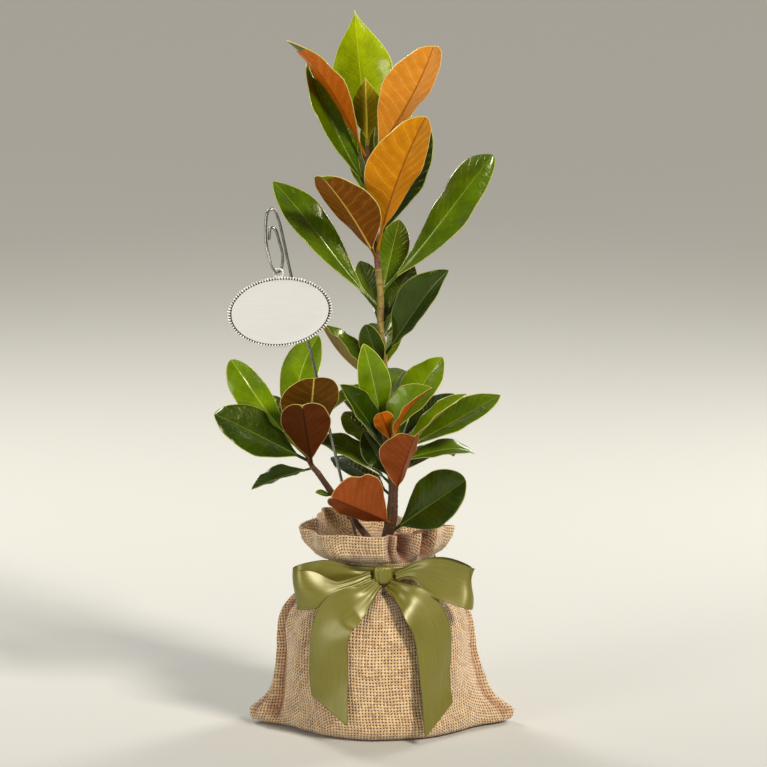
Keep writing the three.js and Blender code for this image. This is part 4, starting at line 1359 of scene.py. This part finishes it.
beads = grow("plaque_beads", line_mesh("bead_start", [Vector()]), bead_rule())
beads.data.transform(hang @ Matrix.Translation((0, 0, BEADS_UP * MM)))
finish_piece(plate_piece, "plaque_metal", "plaque")
finish_piece(beads, "plaque_metal")


# ---------- the wire holder ----------

EYELET = PLAQUE_AT + Vector((-1, -PLAQUE_THICK / 2, 28.45))
WIRE_RADIUS = 1.1
wire_route = Route(
    [
        (-12, -14, SOIL_FLOOR + 3), (-20, -14.5, 148), (-27.5, -15.5, 178), (-39.5, -18.5, 230),
        (-56, -21.5, 300), (-66.5, -22, 342), (-71.5, -22.5, 366), (-75.2, -23, 382),
        (-79.2, -24, 391), (-83, -25.5, 389.5), (-84.8, -27, 379.5), (-84, -29.5, 364),
        (-80.8, -32, 352), EYELET + Vector((-2, -3.6, 1.4)), EYELET + Vector((-0.1, 0, 0.8)),
        EYELET + Vector((1.8, 3.6, 1.9)), (-72.5, -24.8, 356), (-75.2, -25.2, 368),
        (-78.2, -25.6, 376.8), (-81, -26, 377.6), (-82.4, -26, 369),
    ]
)
wire_curve = bpy.data.curves.new("wire_line", "CURVE")
wire_curve.dimensions = "3D"
wire_curve.bevel_depth = WIRE_RADIUS * MM
wire_curve.bevel_resolution = 4
wire_curve.use_fill_caps = True
strand = wire_curve.splines.new("POLY")
wire_points = wire_route.spaced(421)
strand.points.add(len(wire_points) - 1)
for held, spot in zip(strand.points, wire_points):
    held.co = (*(spot * MM), 1)
wire_carrier = place("wire_line", wire_curve)
wire_view = wire_carrier.evaluated_get(bpy.context.evaluated_depsgraph_get())
wire_mesh = bpy.data.meshes.new_from_object(wire_view)
bpy.data.objects.remove(wire_carrier)
wire_mesh.name = "holder_wire"
wire_mesh.materials.clear()
wire_mesh.materials.append(wire_metal)
wire_mesh.polygons.foreach_set("use_smooth", [True] * len(wire_mesh.polygons))
finish_piece(place("holder_wire", wire_mesh), "wire_metal", "plaque_wire")


# ---------- the ribbon ----------


def satin():
    """Polyester satin ribbon: long floats lie along its length, so it shines in soft broad bands
    across the ribbon and falls off to a deep olive."""
    finish, tree, body = material(
        "olive_satin_weave",
        metallic=0.25,
        roughness=0.44,
        specular_ior_level=0.75,
        anisotropic=0.5,
        coat_weight=0.26,
        coat_roughness=0.32,
    )
    cut = node(tree, "ShaderNodeUVMap", uv_map="cut")
    along = node(tree, "ShaderNodeTangent", direction_type="UV_MAP", uv_map="cut")
    tree.links.new(along, body["Tangent"])
    # The floats lie 0.33 mm apart.
    threads = node(tree, "ShaderNodeMapping", {"Vector": cut, "Scale": (3.0, 0.05, 1.0)})
    floats = node(tree, "ShaderNodeTexNoise", {"Vector": threads, "Scale": 1.0, "Detail": 3.0})
    olive = node(tree, "ShaderNodeValToRGB", {0: floats}, stops=((0.3, "#6a6514"), (0.7, "#7e7824")))
    # The woven edges are a shade darker over the outer 0.7 mm.
    to_edge = node(tree, "ShaderNodeAttribute", out="Fac", attribute_name="to_edge")
    cloth = lay_over(tree, olive, [(to_edge, 0.3, 0.8, 0.5, 0.0, "#45440e", "LINEAR")])
    surface(tree, body, cloth, floats, (0.04, 0.0002))
    return finish


satin_ribbon = satin()
RIBBON_WIDE = 30
RIBBON_DEEP = 0.28
RIBBON_STEPS = 120
RIBBON_SECTION = both_faces([math.sin(math.pi / 2 * (k / 8 - 1)) for k in range(17)], -1)


def strip(name, node_name, points, wide_at, across_at, pleat, wave, slant=0):
    """A length of ribbon along a path. pleat is how deep its gathers are at a share of the way
    along, wave how much it rolls between them, and slant cuts its far end on the bias."""
    route = Route(points)
    build = Build()
    rings = []
    for i in range(RIBBON_STEPS + 1):
        t = i / RIBBON_STEPS
        centre, along = route.at(t), route.along(t)
        across = across_at(t, along)
        across = (across - along * across.dot(along)).normalized()
        out = along.cross(across)
        bias = slant * ramp_up(t, 0.8, 1) * t
        half = wide_at(t) / 2
        full = half / (RIBBON_WIDE / 2)
        ring = []
        for v, face in RIBBON_SECTION:
            fold = pleat(t) * math.cos(2.6 * math.pi * v + 0.7)
            # Away from the gathers the ribbon is cupped and waved a little.
            camber = 1.5 * v * v * math.sin(4.5 * t + 1) * full
            camber += wave * full * math.sin(1.9 * v + 11 * t + 1)
            wrinkle = noise.noise(centre / 24 + across * (v * 0.9)) * 0.8
            ring.append(
                centre
                + across * (half * v)
                + along * (bias * half * v)
                + out * (fold + camber + wrinkle + face * RIBBON_DEEP)
            )
            build.values["to_edge"].append((1 - abs(v)) * half)
        rings.append(ring)

    def uv(i, j):
        v = RIBBON_SECTION[j % len(RIBBON_SECTION)][0]
        return (v * RIBBON_WIDE / 2, i / RIBBON_STEPS * route.length)

    build.rings(rings, uv)
    finish_piece(build.done(name, [satin_ribbon]), "satin", node_name)


def loop_wide(back, front):
    """A loop's width all round it. It opens out from the gathered knot to the open end between
    two shares of the sine of the way round, which differ front and back."""

    def wide_at(t):
        return mix(8, RIBBON_WIDE, ramp_up(math.sin(math.pi * t), *(back if t < 0.5 else front)))

    return wide_at


def loop_pleat(t):
    return 1.1 * (1 - ramp_up(math.sin(math.pi * t), 0, 0.9))


def loop_lean(t, along):
    """The way across a loop, which leans back a little where it faces the front."""
    back = 0.24 * ramp_up(t, 0.5, 0.75) * (1 - ramp_up(t, 0.85, 1))
    return Vector((0.1 * math.sin(math.pi * t), back, 1))


def tail_wide(t):
    return mix(9, RIBBON_WIDE, ramp_up(t, 0, 0.32))


def tail_pleat(t):
    return 0.9 * (1 - ramp_up(t, 0, 0.3))


def facing(turn):
    """The way across a tail whose face turns from the knot to the sack's bulge."""

    def across_at(t, along):
        return Vector((turn * mix(0.3, 1, t), -1, 0)).cross(along)

    return across_at


LEFT_LOOP = [
    (-8.5, -44, NECK), (-22, -46, 121), (-43, -45, 119), (-60, -47, 115), (-64, -52, 114),
    (-60, -57, 114), (-42, -59, 115), (-22, -54, 118.5), (-8, -48, NECK),
]
RIGHT_LOOP = [
    (10.5, -44, NECK), (25, -46, 126), (46, -46, 122), (62, -48, 116), (66, -53, 114),
    (62, -57, 116), (45, -57.5, 122), (25, -53, 127), (10, -48, NECK),
]
LEFT_TAIL = [
    (-3, -48.4, 117.6), (-12, -56.5, 110.5), (-23, -62.5, 104), (-33, -65, 95.5), (-38, -65.5, 83),
    (-39.5, -64.5, 66), (-39.5, -64, 46), (-39, -65, 25),
]
RIGHT_TAIL = [
    (5, -49.3, 116.4), (14, -58, 113), (23, -62.5, 107), (31, -64, 97), (36.5, -63.5, 84),
    (39, -61.5, 68), (40, -62, 44), (42.5, -64, 18),
]
left_wide, right_wide = loop_wide((0, 0.8), (0.6, 1)), loop_wide((0.1, 0.9), (0.15, 0.85))
strip("satin_loop_left", "bow_loop_left", LEFT_LOOP, left_wide, loop_lean, loop_pleat, 2.3)
strip("satin_loop_right", "bow_loop_right", RIGHT_LOOP, right_wide, loop_lean, loop_pleat, 2.3)
strip("satin_tail_left", "ribbon_tail_left", LEFT_TAIL, tail_wide, facing(-0.5), tail_pleat, 1.1, 0.7)
strip("satin_tail_right", "ribbon_tail_right", RIGHT_TAIL, tail_wide, facing(1), tail_pleat, 1.1, -0.7)

# The band that ties the neck, with the ribbon creased along it: how far out and how high each
# line of its section lies.
BAND_PROFILE = [
    (0.5, -4.4), (1.3, -4.5), (1.7, -2.8), (1.3, -1.2), (1.9, 0.6), (1.4, 2.2), (1.8, 3.6),
    (1.2, 4.5), (0.5, 4.4),
]
BAND_HALF = 4.5
BAND_STEPS = 160
band = Build()
band_rings = []
for j in range(BAND_STEPS + 1):
    turn = j / BAND_STEPS * 2 * math.pi
    x, y = math.cos(turn), math.sin(turn)
    line = [((NECK_WIDE + out) * x, (NECK_DEEP + out) * y, NECK + up) for out, up in BAND_PROFILE]
    band_rings.append([Vector(spot) for spot in line])
    band.values["to_edge"] += [BAND_HALF - abs(up) for _, up in BAND_PROFILE]
band.rings(band_rings, lambda i, j: (j * 1.4, i * 1.5), closed=False)
finish_piece(band.done("satin_band", [satin_ribbon]), "satin", "ribbon_band")

# The knot is the ribbon pulled tight over itself, in upright pleats.
KNOT_RINGS, KNOT_SIDES = 41, 96
HALF_WIDE, HALF_DEEP, HALF_TALL = 9, 5, 6.8
knot = Build()
knot_rings = []
for i in range(KNOT_RINGS):
    rise = math.pi * (i / (KNOT_RINGS - 1)) - math.pi / 2
    level = math.cos(rise)
    ring = []
    for x, y, _ in oval(KNOT_SIDES, 1, 1, 0):
        pleat = 1 + 0.055 * math.cos(17 * x + 1.6 * math.sin(rise)) * level
        flat = level**0.45 * (1 - 0.14 * level**2) * pleat
        height = NECK + HALF_TALL * math.sin(rise)
        ring.append(Vector((1 + HALF_WIDE * x * flat, -44.85 + HALF_DEEP * y * flat, height)))
    knot_rings.append(ring)
knot.rings(knot_rings, lambda i, j: (j * 0.5, i * 0.4))
knot.values["to_edge"] = [FAR_OFF] * (KNOT_RINGS * KNOT_SIDES)
finish_piece(knot.done("satin_knot", [satin_ribbon]), "satin", "ribbon_knot")


# ---------- stage and light ----------

# Matt studio paper, with a faint fibre grain.
paper_finish = speckled(
    "pale_grey_paper",
    scale=400.0,
    detail=2.0,
    stops=((0.3, "#c5c5bf"), (0.7, "#c6c6c0")),
    roughness=0.9,
)
PAPER_HALF = 14000
paper = Build()
paper_rings = [[Vector((x, y, 0)) for x in (-PAPER_HALF, PAPER_HALF)] for y in (PAPER_HALF, -PAPER_HALF)]
paper.rings(paper_rings, lambda i, j: (i, j), loop=False, closed=False)
floor = paper.done("studio_floor", [paper_finish])
floor.data.flip_normals()
floor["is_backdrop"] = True


def hang_lamp(name, kind, code, power, shines):
    """A lamp of a colour that shines the given way."""
    lamp = bpy.data.lights.new(name, kind)
    lamp.energy = power
    lamp.color = linear(code)[:3]
    holder = place(name, lamp)
    holder.rotation_euler = Vector(shines).to_track_quat("-Z", "Y").to_euler()
    return lamp, holder


# The key is far off and large, so it lights the whole floor evenly and its shadows are soft.
key, _ = hang_lamp("key_light", "SUN", "#fff7ec", 3.1, (-1.25, 1.5, -1.35))
key.angle = math.radians(13)
# The softboxes: name, place, height of what they shine at, width, height and power.
SOFTBOXES = [
    ("fill_light", (-1.8, -1.9, 0.8), 0.28, 1.0, 1.4, 28),
    ("rim_light_left", (-0.9, 1.1, 1.3), 0.35, 0.4, 0.9, 17),
    ("rim_light_right", (1.1, 1.0, 1.1), 0.35, 0.4, 0.9, 17),
]
for name, spot, aim, wide, tall, watts in SOFTBOXES:
    box, holder = hang_lamp(name, "AREA", "#fffdf8", watts, Vector((0, 0, aim)) - Vector(spot))
    box.shape = "RECTANGLE"
    box.size, box.size_y = wide, tall
    holder.location = spot

world = bpy.data.worlds.new("studio_world")
world.use_nodes = True
backdrop = world.node_tree.nodes["Background"].inputs
backdrop["Color"].default_value = linear("#dfdfdc")
backdrop["Strength"].default_value = 0.16
bpy.context.scene.world = world
bpy.context.scene.view_settings.view_transform = "Standard"

boxes = {"cad": cad_box, "visual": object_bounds()}
{key: [list(map(float, p)) for p in box] for key, box in boxes.items()}
